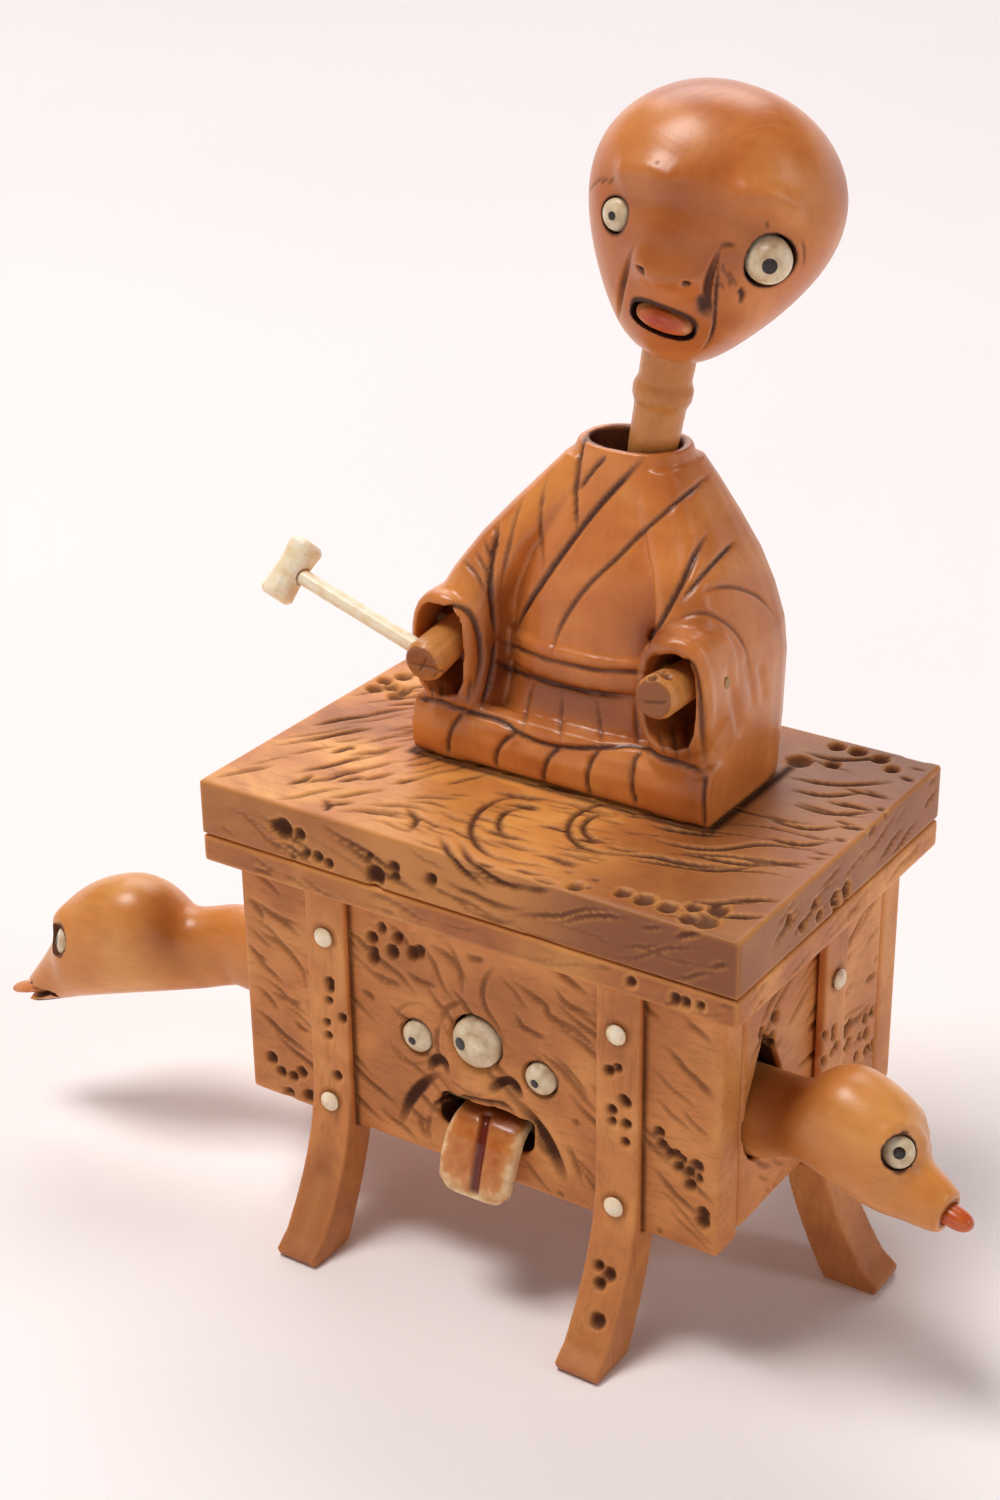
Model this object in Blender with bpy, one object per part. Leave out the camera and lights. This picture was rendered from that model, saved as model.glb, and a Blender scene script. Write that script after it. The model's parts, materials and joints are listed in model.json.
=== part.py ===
"""Carved wooden toy: a seated bald figure on a legged chest with a face and two long-necked heads.

Turning the knob at the back of the chest works everything: a crank pin slides the bar that
carries both long-necked heads, wedges on that bar push the middle eye out and wag the big
tongue, and a second pin lifts a rod that sways the figure's neck and drops both its arms.

Sizes are in millimetres, and every mesh is made in metres. +Z is up, the face looks along -Y.
The chest is modelled round x = y = 0 with the floor at z = 0, and is centred at the end.
"""

import math

import bmesh
import bpy
from mathutils import Matrix, Vector

METRE = 0.001

# Clearances
SEAT = 0.2            # between pieces that are glued or rest on each other
RUNNING = 0.35        # between pieces that move past each other

# Chest
BODY_WIDTH = 68.6
BODY_DEPTH = 46.1
BODY_HEIGHT = 33.4
BODY_CLEAR = 15.9     # from the floor to the front board's lower edge
FRONT_BOARD = 5.0
END_BOARD = 4.0
END_BOARD_RISE = 1.0  # the end boards stop this far above the front board's lower edge
BOTTOM_BOARD = 3.0
BOTTOM_RISE = 1.8

# Lid
LID_WIDTH = 75.0
LID_DEPTH = 51.6
LID_BOARD = 7.3
LID_UNDER = 3.6
LID_EDGE = 0.7
ROD_HOLE = 5.2

# Legs
LEG_WIDTH = 5.9
FRONT_STRIP = 1.3     # how far the strip stands off the front board
END_STRIP = 1.5
LEG_REACH = 10.6      # from the wall to the toe's outer edge
TOE_DEPTH = 7.7
TOE_CHAMFER = 1.2
LEG_TUCK = 3.0        # how far the leg's shoulder goes under the wall
CURVE_START = 24.0    # height where the strip starts to curve outwards
CURVE_STEPS = 8
LEG_FROM_LEFT_END = 14.0   # from the chest's left end to the left legs' middle
LEG_FROM_RIGHT_END = 12.9
END_LEG_Y = 2.6

# Bone pegs
PEG_HEAD = 2.5
PEG_SHANK = 1.5
PEG_SHANK_LENGTH = 1.3
PEG_DOME = 0.8
PEG_BELOW_LID = 6.2    # from the front board's upper edge to the upper pegs
PEG_ABOVE_EDGE = 3.6   # from the front board's lower edge to the lower pegs
END_PEG_DROP = 1.7     # how much lower the pegs sit on the two end legs
PEG_SIDES = 10

# Face on the front board
CENTRE_EYE = 6.9
CENTRE_EYE_X = 0.9
CENTRE_EYE_Z = 34.2
CENTRE_EYE_STALK = 2.6
CENTRE_EYE_POP = 2.0
SMALL_EYE = 4.3
LEFT_EYE_X = -7.8
RIGHT_EYE_X = 10.0
SMALL_EYE_Z = 32.2
SMALL_EYE_DEPTH = 1.8
EYE_DOME = 0.7
MOUTH_WIDTH = 14.0
MOUTH_X = 2.0
MOUTH_LOW = 20.4
MOUTH_HIGH = 26.2

# Chest tongue
TONGUE_WIDTH = 10.6
TONGUE_THICK = 2.7
TONGUE_PIN = 1.2
TONGUE_PIVOT_IN = 3.3  # from the front board's face to the tongue's pin
TONGUE_PIVOT_Z = 23.8
TONGUE_WAG = 18.0      # degrees
TONGUE_TAIL = 7.0
TONGUE_TAIL_WIDTH = 3.0
TONGUE_X = 2.8

# Slide bar and the long-necked heads
NECK_FROM_FRONT = 5.65  # from the front board's inner face to the necks' middle
NECK_Z = 30.4
NECK_HIGH = 11.8
NECK_WIDE = 9.2
TORN_POINT = 4.4       # how far the torn hole round a neck is drawn up
STEM = 5.0
STEM_SOCKET = 3.0
PLATE_THICK = 2.4
PLATE_WIDTH = 30.0
PLATE_FROM_FRONT = 1.75
LUG_THICK = 2.2
LEFT_NECK_IN = 28.5    # from the chest's middle to the left neck's inner end
RIGHT_NECK_IN = 19.4
WEDGE_RUN_OUT = 1.5
EYE_WEDGE_BACK = 3.6
TONGUE_WEDGE_WIDTH = 1.6
CREATURE_EYE = 4.0
CREATURE_EYE_DEPTH = 1.6
CREATURE_MOUTH_DEPTH = 5.0

# Crank
CRANK_Z = 36.0
CRANK_TURN = 90.0      # degrees
CRANK_SHAFT = 3.2
CRANK_DISC = 17.0
CRANK_DISC_THICK = 2.5
SLIDE_PIN = 2.4
SLIDE_PIN_RADIUS = 6.5
LIFT_PIN = 2.0
LIFT_PIN_RADIUS = 2.2
KNOB = 8.4
KNOB_LENGTH = 6.6
BEARING_WIDTH = 9.0
BEARING_TOP = 5.0      # wood above the shaft's middle

# Lift rod and crossbar
LIFT_Y = 9.0
LIFT_THICK = 2.4
YOKE_WIDTH = 6.4
YOKE_HIGH = 8.0
CROSSBAR_ABOVE_LID = 11.6
CROSSBAR = 2.4
FINGER_WIDTH = 2.0

# Figure
FIGURE_X = 1.0
ROLL_HALF = 20.9
ROBE_HEIGHT = 39.6
ROLL_HIGH = 7.6
COLLAR_X = 2.0
COLLAR_Y = 11.4
COLLAR_WIDE = 11.9
COLLAR_DEEP = 8.8
COLLAR_STRAIGHT = 3.6  # how far down the collar's opening keeps its size
SLOT_SIDE = 1.3        # beside the arms' tails in the cross slot
SLOT_FRONT = 5.8
SLOT_HIGH = 13.2
ARM_WELL_FRONT = 1.8
ARM_WELL_HIGH = 11.6
NECK_PIVOT_H = 26.4    # above the lid
NECK_PIN = 1.6
NECK_PIN_FRONT = 7.6   # how far the pin runs forward of the neck's middle, into the robe's front
NECK_PIN_BACK = 5.0
NECK_ARM = 8.8
NECK_ARM_THICK = 2.4
NECK_BORE_WALL = 1.7
NECK_LENGTH = 27.0
HEAD_WIDTH = 29.6
HEAD_DEPTH = 26.8
HEAD_HIGH = 31.8
CHIN_FROM_PIVOT = 25.4
HEAD_TILT = 7.0        # degrees, beyond the neck's own lean
HEAD_YAW = 14.0        # degrees, the face turned towards +X
POP_EYE = 5.9
POP_EYE_PLACE = (44.0, 0.10, 44.0)     # degrees round the face, share of its height, degrees of its look
FIXED_EYE = 4.0
FIXED_EYE_PLACE = (-40.0, 0.12, -24.0)

# Arms
ARM_X = 16.0           # from the figure's middle
ARM = 5.4
ARM_TAIL = 2.4
ARM_PIN = 1.4
ARM_PIN_WAY_IN = 9.0   # from the arm's middle to outside the sleeve
MALLET_ARM_X = -15.7
MALLET_ARM_Y = 0.3
MALLET_ARM_H = 16.2
MALLET_ARM_REACH = 9.4
MALLET_ARM_DROOP = 10.0
EMPTY_ARM_Y = -1.4
EMPTY_ARM_H = 17.6
EMPTY_ARM_REACH = 8.4
EMPTY_ARM_DROOP = -4.0
TAIL_PAST_BAR = 2.2
HANDLE = 2.1
HANDLE_LENGTH = 22.0
HANDLE_RISE = 18.0     # degrees above level
MALLET_HEAD = 4.8
MALLET_HEAD_LENGTH = 8.2

# Worked out from the sizes above
BODY_TOP = BODY_CLEAR + BODY_HEIGHT
PEG_HIGH = BODY_TOP - PEG_BELOW_LID
PEG_LOW = BODY_CLEAR + PEG_ABOVE_EDGE
FRONT_FACE = -BODY_DEPTH / 2
FRONT_INNER = FRONT_FACE + FRONT_BOARD
END_FACE = BODY_WIDTH / 2
END_INNER = END_FACE - END_BOARD
LEG_LEFT = LEG_FROM_LEFT_END - END_FACE
LEG_RIGHT = END_FACE - LEG_FROM_RIGHT_END
NECK_Y = FRONT_INNER + NECK_FROM_FRONT
PLATE_FRONT = FRONT_INNER + PLATE_FROM_FRONT
BOTTOM_LOW = BODY_CLEAR + BOTTOM_RISE
BOTTOM_TOP = BOTTOM_LOW + BOTTOM_BOARD
UNDER_LOW = BODY_TOP + SEAT
UNDER_TOP = UNDER_LOW + LID_UNDER
LID_LOW = UNDER_TOP + SEAT
LID_TOP = LID_LOW + LID_BOARD
ROBE_LOW = LID_TOP + SEAT
HALF_TURN = math.radians(CRANK_TURN / 2)
SLIDE_TRAVEL = 2 * SLIDE_PIN_RADIUS * math.sin(HALF_TURN)
LIFT_TRAVEL = 2 * LIFT_PIN_RADIUS * math.sin(HALF_TURN)
LIFT_X = LIFT_PIN_RADIUS * (1 + math.cos(HALF_TURN)) / 2
YOKE_FRONT = LIFT_Y - LIFT_THICK / 2
LUG_BACK = YOKE_FRONT - RUNNING
DISC_FRONT = LIFT_Y + LIFT_THICK / 2 + RUNNING
DISC_BACK = DISC_FRONT + CRANK_DISC_THICK
BEARING_FRONT = DISC_BACK + RUNNING
BEARING_BACK = -FRONT_INNER - SEAT
NECK_PIVOT = Vector((COLLAR_X, COLLAR_Y, LID_TOP + NECK_PIVOT_H))
NECK_SWAY = 2 * math.asin(LIFT_TRAVEL / 2 / NECK_ARM)
CROSSBAR_LOW = LID_TOP + CROSSBAR_ABOVE_LID
CROSSBAR_TOP = CROSSBAR_LOW + CROSSBAR
MALLET_PIVOT = Vector((MALLET_ARM_X, MALLET_ARM_Y, LID_TOP + MALLET_ARM_H))
EMPTY_PIVOT = Vector((FIGURE_X + ARM_X, EMPTY_ARM_Y, LID_TOP + EMPTY_ARM_H))
TONGUE_PIVOT = Vector((TONGUE_X, FRONT_FACE + TONGUE_PIVOT_IN, TONGUE_PIVOT_Z))


def clear_scene():
    """Start from an empty scene."""
    for old in list(bpy.data.objects):
        bpy.data.objects.remove(old, do_unlink=True)


def linear(part):
    """One sRGB channel, 0 to 1, as a linear value."""
    return part / 12.92 if part <= 0.04045 else ((part + 0.055) / 1.055) ** 2.4


def finish(name, code, roughness):
    """A plain finish from an sRGB hex colour."""
    made = bpy.data.materials.new(name)
    made.use_nodes = True
    shader = made.node_tree.nodes["Principled BSDF"]
    rgb = [linear(int(code[at:at + 2], 16) / 255) for at in (0, 2, 4)]
    shader.inputs["Base Color"].default_value = (*rgb, 1.0)
    shader.inputs["Roughness"].default_value = roughness
    shader.inputs["Metallic"].default_value = 0.0
    made.diffuse_color = (*rgb, 1.0)
    return made


def solid(name, points, faces):
    """A closed mesh object from points in millimetres."""
    shape = bmesh.new()
    verts = [shape.verts.new(Vector(point) * METRE) for point in points]
    for face in faces:
        shape.faces.new([verts[at] for at in face])
    bmesh.ops.recalc_face_normals(shape, faces=shape.faces)
    mesh = bpy.data.meshes.new(name)
    shape.to_mesh(mesh)
    shape.free()
    made = bpy.data.objects.new(name, mesh)
    bpy.context.scene.collection.objects.link(made)
    return made


def loft(name, rings):
    """A skin over rings of equal count, closed at both ends."""
    count = len(rings[0])
    points = [point for ring in rings for point in ring]
    faces = [tuple(range(count)), tuple(range(len(points) - count, len(points)))]
    for level in range(len(rings) - 1):
        for at in range(count):
            low, nxt = level * count + at, level * count + (at + 1) % count
            faces.append((low, nxt, nxt + count, low + count))
    return solid(name, points, faces)


def oval(centre, side, up, half_side, half_up, power=2.0, sides=16):
    """A ring of points round a superellipse; side and up are its unit directions."""
    ring = []
    for at in range(sides):
        turn = 2 * math.pi * (at + 0.5) / sides
        across, along = math.cos(turn), math.sin(turn)
        across = math.copysign(abs(across) ** (2 / power), across) * half_side
        along = math.copysign(abs(along) ** (2 / power), along) * half_up
        ring.append(Vector(centre) + Vector(side) * across + Vector(up) * along)
    return ring


def level_ring(x_low, x_high, y_low, y_high, z, power, sides):
    """A level oval between two limits each way."""
    centre = ((x_low + x_high) / 2, (y_low + y_high) / 2, z)
    half_x, half_y = (x_high - x_low) / 2, (y_high - y_low) / 2
    return oval(centre, (1, 0, 0), (0, 1, 0), half_x, half_y, power, sides)


def turned(name, profile, start, direction, sides=16):
    """A turned piece from (distance, radius) pairs along a direction."""
    direction = Vector(direction).normalized()
    side = direction.orthogonal().normalized()
    up = direction.cross(side)
    rings = [oval(Vector(start) + direction * along, side, up, radius, radius, 2.0, sides)
             for along, radius in profile]
    return loft(name, rings)


def rod(name, start, end, thick, sides=12):
    """A plain round rod between two points."""
    run = Vector(end) - Vector(start)
    return turned(name, [(0.0, thick / 2), (run.length, thick / 2)], start, run, sides)


def slab(name, outline, origin, across, up, run):
    """A flat outline of (across, up) points pushed along a run."""
    base = [Vector(origin) + Vector(across) * a + Vector(up) * b for a, b in outline]
    return loft(name, [base, [point + Vector(run) for point in base]])


def box(name, low, high, round_edge=0.0, edges=None):
    """A block between two corners, with its edges rounded where asked."""
    low, high = Vector(low), Vector(high)
    outline = [(low.x, low.y), (high.x, low.y), (high.x, high.y), (low.x, high.y)]
    made = slab(name, outline, (0, 0, low.z), (1, 0, 0), (0, 1, 0), (0, 0, high.z - low.z))
    if round_edge:
        shape = bmesh.new()
        shape.from_mesh(made.data)
        chosen = [edge for edge in shape.edges if edges is None or edges(edge)]
        bmesh.ops.bevel(shape, geom=chosen, offset=round_edge * METRE, segments=2,
                        profile=0.5, affect="EDGES")
        shape.to_mesh(made.data)
        shape.free()
    return made


def combine(body, tool, how):
    """Join a tool to a body, or cut it away, and throw the tool away."""
    change = body.modifiers.new(how.lower(), "BOOLEAN")
    change.operation = how
    change.solver = "EXACT"
    change.object = tool
    bpy.context.view_layer.update()
    graph = bpy.context.evaluated_depsgraph_get()
    body.data = bpy.data.meshes.new_from_object(body.evaluated_get(graph))
    body.modifiers.clear()
    bpy.data.objects.remove(tool, do_unlink=True)
    return body


def join(body, *tools):
    for tool in tools:
        combine(body, tool, "UNION")
    return body


def cut(body, *tools):
    for tool in tools:
        combine(body, tool, "DIFFERENCE")
    return body


def pivot(name, place, parent):
    """An empty on a joint's axis, which carries the pieces that move with it."""
    made = bpy.data.objects.new(name, None)
    bpy.context.scene.collection.objects.link(made)
    made.empty_display_size = 5 * METRE
    made.parent = parent
    made.location = (Vector(place) - place_of(parent)) * METRE
    made["place"] = tuple(place)
    return made


def place_of(empty):
    return Vector(empty["place"])


def seat(piece, material, carrier):
    """Give a piece its finish and hang it on the empty that carries it."""
    place = place_of(carrier)
    piece.data.transform(Matrix.Translation(-place * METRE))
    piece.parent = carrier
    piece.data.materials.clear()
    piece.data.materials.append(material)
    piece.data.shade_smooth()
    piece.data.set_sharp_from_angle(angle=math.radians(35))
    return piece


def button_eye(name, face, direction, size, depth, dome, stalk=0.0, stalk_size=0.0, sides=16):
    """A bone eye: a round plug with a domed front, and a stalk where something pushes it."""
    radius = size / 2
    profile = [(-depth, radius), (0.0, radius), (dome * 0.55, radius * 0.8),
               (dome * 0.9, radius * 0.45), (dome, radius * 0.12)]
    if stalk:
        profile = [(-depth - stalk, stalk_size / 2), (-depth, stalk_size / 2)] + profile
    return turned(name, profile, face, direction, sides)


def eye_socket(face, direction, size, depth):
    """The hole that an eye sits in."""
    direction = Vector(direction).normalized()
    start = Vector(face) - direction * (depth + SEAT)
    return rod("socket", start, Vector(face) + direction * size, size + 2 * SEAT, 16)


def make_chest(wood, root):
    """The chest's boards, with the face's holes and the holes for both necks."""
    front = box("front_wall", (-END_FACE, FRONT_FACE, BODY_CLEAR),
                (END_FACE, FRONT_INNER, BODY_TOP), 0.5)
    mouth_half = MOUTH_WIDTH / 2
    mouth_mid = (MOUTH_LOW + MOUTH_HIGH) / 2
    mouth_rings = [oval((MOUTH_X, y, mouth_mid), (1, 0, 0), (0, 0, 1), mouth_half,
                        (MOUTH_HIGH - MOUTH_LOW) / 2, 4.0, 20)
                   for y in (FRONT_FACE - 1, FRONT_INNER + 1)]
    pin_low = (MOUTH_X - mouth_half - 1.6, TONGUE_PIVOT.y, TONGUE_PIVOT.z)
    pin_high = (MOUTH_X + mouth_half + 1.6, TONGUE_PIVOT.y, TONGUE_PIVOT.z)
    cut(front, loft("mouth", mouth_rings),
        rod("bore", (CENTRE_EYE_X, FRONT_FACE - 1, CENTRE_EYE_Z),
            (CENTRE_EYE_X, FRONT_INNER + 1, CENTRE_EYE_Z), CENTRE_EYE + 2 * RUNNING, 16),
        rod("bore", pin_low, pin_high, TONGUE_PIN + 2 * SEAT, 10))
    for x in (LEFT_EYE_X, RIGHT_EYE_X):
        cut(front, eye_socket((x, FRONT_FACE, SMALL_EYE_Z), (0, -1, 0), SMALL_EYE, SMALL_EYE_DEPTH))
    seat(front, wood, root)

    back = box("back_wall", (-END_FACE, -FRONT_INNER, BODY_CLEAR),
               (END_FACE, -FRONT_FACE, BODY_TOP), 0.5)
    cut(back, rod("bore", (0, -FRONT_INNER - 1, CRANK_Z), (0, -FRONT_FACE + 1, CRANK_Z),
                  CRANK_SHAFT + 2 * RUNNING, 16))
    seat(back, wood, root)

    for label, shape in CREATURES.items():
        side = shape["side"]
        low_x, high_x = sorted((side * END_INNER, side * END_FACE))
        board = box(label + "_wall", (low_x, FRONT_INNER + SEAT, BODY_CLEAR + END_BOARD_RISE),
                    (high_x, -FRONT_INNER - SEAT, BODY_TOP), 0.4)
        cut(board, neck_hole(side, shape["neck_z"]))
        seat(board, wood, root)

    floor = box("bottom_board", (-END_INNER + SEAT, FRONT_INNER + SEAT, BOTTOM_LOW),
                (END_INNER - SEAT, -FRONT_INNER - SEAT, BOTTOM_TOP), 0.3)
    seat(floor, wood, root)


def neck_hole(side, height):
    """The torn hole round a neck: oval below, drawn up to a point above."""
    half_wide, half_high = NECK_WIDE / 2 + RUNNING, NECK_HIGH / 2 + RUNNING
    outline = []
    steps = 18
    for at in range(steps):
        turn = 2 * math.pi * at / steps - math.pi / 2
        rise = math.sin(turn)
        lift = TORN_POINT * max(rise, 0.0) ** 6
        outline.append((half_wide * math.cos(turn) / math.cos(math.pi / steps),
                        half_high * rise / math.cos(math.pi / steps) + lift))
    start = side * (END_INNER - 1)
    return slab("neck_hole", outline, (start, NECK_Y, height), (0, 1, 0), (0, 0, 1),
                (side * (END_BOARD + 2), 0, 0))


def make_lid(wood, root):
    """The lid's two boards, rounded so that a V groove runs between them."""
    half_w, half_d = LID_WIDTH / 2, LID_DEPTH / 2
    for name, low, high in (("lid_under_board", UNDER_LOW, UNDER_TOP),
                            ("lid_board", LID_LOW, LID_TOP)):
        board = box(name, (-half_w, -half_d, low), (half_w, half_d, high), LID_EDGE)
        cut(board, rod("bore", (LIFT_X, LIFT_Y, low - 1), (LIFT_X, LIFT_Y, high + 1),
                       ROD_HOLE, 16))
        seat(board, wood, root)


def leg_outline(strip):
    """A leg seen from its side, as (out from the wall, height) points."""
    outer = [(strip, BODY_TOP - SEAT)]
    for step in range(CURVE_STEPS + 1):
        part = step / CURVE_STEPS
        height = CURVE_START * (1 - part)
        if height > TOE_CHAMFER:
            outer.append((strip + (LEG_REACH - strip) * part ** 2.1, height))
    outer += [(LEG_REACH, TOE_CHAMFER), (LEG_REACH - 0.5, 0.0)]
    top = BODY_CLEAR - SEAT
    inner = []
    for step in range(CURVE_STEPS + 1):
        part = 1 - step / CURVE_STEPS
        out = -LEG_TUCK + (LEG_REACH - TOE_DEPTH + LEG_TUCK) * part ** 1.4
        inner.append((out, top * (1 - part)))
    return outer + inner + [(SEAT, top), (SEAT, BODY_TOP - SEAT)]


def make_legs(wood, bone, root):
    """Six sabre legs and the two bone pegs in each."""
    places = [("front_left_leg", (LEG_LEFT, FRONT_FACE), (0, -1), FRONT_STRIP, 0.0),
              ("front_right_leg", (LEG_RIGHT, FRONT_FACE), (0, -1), FRONT_STRIP, 0.0),
              ("back_left_leg", (LEG_LEFT, -FRONT_FACE), (0, 1), FRONT_STRIP, 0.0),
              ("back_right_leg", (LEG_RIGHT, -FRONT_FACE), (0, 1), FRONT_STRIP, 0.0),
              ("left_leg", (-END_FACE, END_LEG_Y), (-1, 0), END_STRIP, END_PEG_DROP),
              ("right_leg", (END_FACE, END_LEG_Y), (1, 0), END_STRIP, END_PEG_DROP)]
    for name, wall, out, strip, drop in places:
        out = Vector((*out, 0))
        wide = Vector((0, 0, 1)).cross(out)
        start = Vector((*wall, 0)) - wide * LEG_WIDTH / 2
        leg = slab(name, leg_outline(strip), start, out, (0, 0, 1), wide * LEG_WIDTH)
        face = Vector((*wall, 0)) + out * strip
        for label, height in (("upper", PEG_HIGH - drop), ("lower", PEG_LOW - drop)):
            part = max(1 - height / CURVE_START, 0.0)
            place = face + out * (LEG_REACH - strip) * part ** 2.1 + Vector((0, 0, height))
            cut(leg, rod("bore", place - out * (PEG_SHANK_LENGTH + SEAT), place + out,
                         PEG_SHANK + 2 * SEAT, PEG_SIDES))
            radius = PEG_HEAD / 2
            profile = [(-PEG_SHANK_LENGTH, PEG_SHANK / 2), (SEAT, PEG_SHANK / 2), (SEAT + 0.02, radius * 0.9),
                       (SEAT + 0.25, radius), (SEAT + PEG_DOME * 0.7, radius * 0.7),
                       (SEAT + PEG_DOME, radius * 0.15)]
            peg = turned(name.replace("leg", label + "_peg"), profile, place, out, PEG_SIDES)
            seat(peg, bone, root)
        seat(leg, wood, root)


def make_chest_face(bone, stained, wood, root):
    """The three eyes and the wagging tongue on the front board."""
    for name, x in (("left_eye", LEFT_EYE_X), ("right_eye", RIGHT_EYE_X)):
        eye = button_eye(name, (x, FRONT_FACE, SMALL_EYE_Z), (0, -1, 0), SMALL_EYE,
                         SMALL_EYE_DEPTH, EYE_DOME)
        seat(eye, bone, root)

    place = Vector((CENTRE_EYE_X, FRONT_FACE, CENTRE_EYE_Z))
    slide = pivot("centre_eye_slide", place, root)
    stalk_end = eye_ramp_at_rest() - RUNNING
    stalk = stalk_end - FRONT_INNER
    eye = button_eye("centre_eye", place, (0, -1, 0), CENTRE_EYE, FRONT_BOARD, 1.5,
                     stalk, CENTRE_EYE_STALK)
    seat(eye, bone, slide)

    wag = pivot("chest_tongue_pivot", TONGUE_PIVOT, root)
    tongue = make_chest_tongue()
    seat(tongue, stained, wag)
    half = MOUTH_WIDTH / 2 + 1.6 - SEAT
    pin = rod("tongue_pin", (MOUTH_X - half, TONGUE_PIVOT.y, TONGUE_PIVOT.z),
              (MOUTH_X + half, TONGUE_PIVOT.y, TONGUE_PIVOT.z), TONGUE_PIN, 10)
    seat(pin, wood, root)


def make_chest_tongue():
    """A slab that comes out of the mouth and hangs down, on a pin inside the front board."""
    droop = [(-2.0, -0.2), (-3.4, -0.8), (-4.9, -2.3), (-6.1, -4.7), (-6.9, -7.2), (-7.2, -8.6)]
    widths = [0.46, 0.48, 0.5, 0.5, 0.48, 0.36]
    rings = []
    middle = [(0.6, 0.05)] + droop
    for at, (y, z) in enumerate(middle):
        before = middle[max(at - 1, 0)]
        after = middle[min(at + 1, len(middle) - 1)]
        run = Vector((0, after[0] - before[0], after[1] - before[1])).normalized()
        up = Vector((1, 0, 0)).cross(run)
        half = TONGUE_WIDTH * (0.45 if at == 0 else widths[at - 1])
        thick = TONGUE_THICK / 2 * (0.7 if at == len(middle) - 1 else 1.0)
        rings.append(oval(TONGUE_PIVOT + Vector((0, y, z)), (1, 0, 0), up, half, thick, 3.2, 16))
    tongue = loft("chest_tongue", rings)
    tilt = math.radians(TONGUE_WAG / 2)
    run = Vector((0, math.cos(tilt), math.sin(tilt)))
    up = Vector((0, -math.sin(tilt), math.cos(tilt)))
    half_tail = TONGUE_TAIL_WIDTH / 2
    tail_ring = [(-half_tail, -0.9), (half_tail, -0.9), (half_tail, 0.9), (-half_tail, 0.9)]
    tail = slab("tail", tail_ring, TONGUE_PIVOT, (1, 0, 0), up, run * TONGUE_TAIL)
    join(tongue, tail)
    hub = rod("hub", TONGUE_PIVOT - Vector((3.5, 0, 0)), TONGUE_PIVOT + Vector((3.5, 0, 0)), 2.9, 12)
    join(tongue, hub)
    reach = Vector((TONGUE_WIDTH, 0, 0))
    cut(tongue, rod("bore", TONGUE_PIVOT - reach, TONGUE_PIVOT + reach,
                    TONGUE_PIN + 2 * SEAT, 10))
    return tongue


def eye_ramp_at_rest():
    """Where the eye's wedge stands behind the stalk's near edge."""
    return NECK_Y - 0.3


def tongue_ramp(travel):
    """Height of the tongue's wedge over the tail, when the bar has moved this far."""
    part = travel / SLIDE_TRAVEL
    angle = math.radians(TONGUE_WAG) * (0.5 - part)
    contact = TONGUE_TAIL - 1.2
    return TONGUE_PIVOT.z + contact * math.sin(angle) + 0.9 / math.cos(angle) + RUNNING


def make_slide_bar(wood, slide):
    """The bar behind the front board: plate, slotted lug, two wedges and two stems."""
    plate_low = NECK_Z - PLATE_THICK / 2
    plate_high = NECK_Z + PLATE_THICK / 2
    half = PLATE_WIDTH / 2
    bar = box("slide_bar", (-half, PLATE_FRONT, plate_low), (half, LUG_BACK, plate_high))

    pin_low = CRANK_Z - SLIDE_PIN_RADIUS
    pin_high = CRANK_Z - SLIDE_PIN_RADIUS * math.cos(HALF_TURN)
    slot_half = SLIDE_PIN / 2 + RUNNING
    pin_x = -SLIDE_PIN_RADIUS * math.sin(HALF_TURN)
    lug = box("lug", (pin_x - slot_half - 2, LUG_BACK - LUG_THICK, pin_low - slot_half - 1.6),
              (pin_x + slot_half + 2, LUG_BACK, pin_high + slot_half + 1.6))
    join(bar, lug)
    cut(bar, box("slot", (pin_x - slot_half, LUG_BACK - LUG_THICK - 3, pin_low - slot_half),
                 (pin_x + slot_half, LUG_BACK + 1, pin_high + slot_half)))

    slope = CENTRE_EYE_POP / SLIDE_TRAVEL
    near = CENTRE_EYE_X - CENTRE_EYE_STALK / 2
    low_x = near - SLIDE_TRAVEL - WEDGE_RUN_OUT
    high_x = CENTRE_EYE_X + CENTRE_EYE_STALK / 2 + WEDGE_RUN_OUT
    ramp = eye_ramp_at_rest()
    outline = [(low_x, ramp + (low_x - near) * slope), (high_x, ramp + (high_x - near) * slope),
               (high_x, ramp + EYE_WEDGE_BACK), (low_x, ramp + EYE_WEDGE_BACK)]
    top = CENTRE_EYE_Z + CENTRE_EYE_STALK / 2 + 0.6
    join(bar, slab("eye_wedge", outline, (0, 0, NECK_Z), (1, 0, 0), (0, 1, 0),
                   (0, 0, top - NECK_Z)))

    near = TONGUE_X - TONGUE_TAIL_WIDTH / 2
    low_x = near - SLIDE_TRAVEL - WEDGE_RUN_OUT
    high_x = TONGUE_X + TONGUE_TAIL_WIDTH / 2 + WEDGE_RUN_OUT
    slope = (tongue_ramp(0.0) - tongue_ramp(SLIDE_TRAVEL)) / SLIDE_TRAVEL
    rest = tongue_ramp(0.0)
    outline = [(low_x, rest + (low_x - near) * slope), (high_x, min(rest + (high_x - near) * slope, NECK_Z)),
               (high_x, NECK_Z), (low_x, NECK_Z)]
    contact_y = TONGUE_PIVOT.y + TONGUE_TAIL - 1.2
    join(bar, slab("tongue_wedge", outline, (0, contact_y - TONGUE_WEDGE_WIDTH / 2, 0),
                   (1, 0, 0), (0, 0, 1), (0, TONGUE_WEDGE_WIDTH, 0)))

    left_end = -(LEFT_NECK_IN + STEM_SOCKET - SEAT)
    right_end = RIGHT_NECK_IN + STEM_SOCKET - SEAT
    join(bar, rod("stem", (left_end, NECK_Y, NECK_Z), (-half + 1, NECK_Y, NECK_Z), STEM, 12),
         rod("stem", (half - 1, NECK_Y, NECK_Z), (right_end, NECK_Y, NECK_Z), STEM, 12))
    seat(bar, wood, slide)


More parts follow.
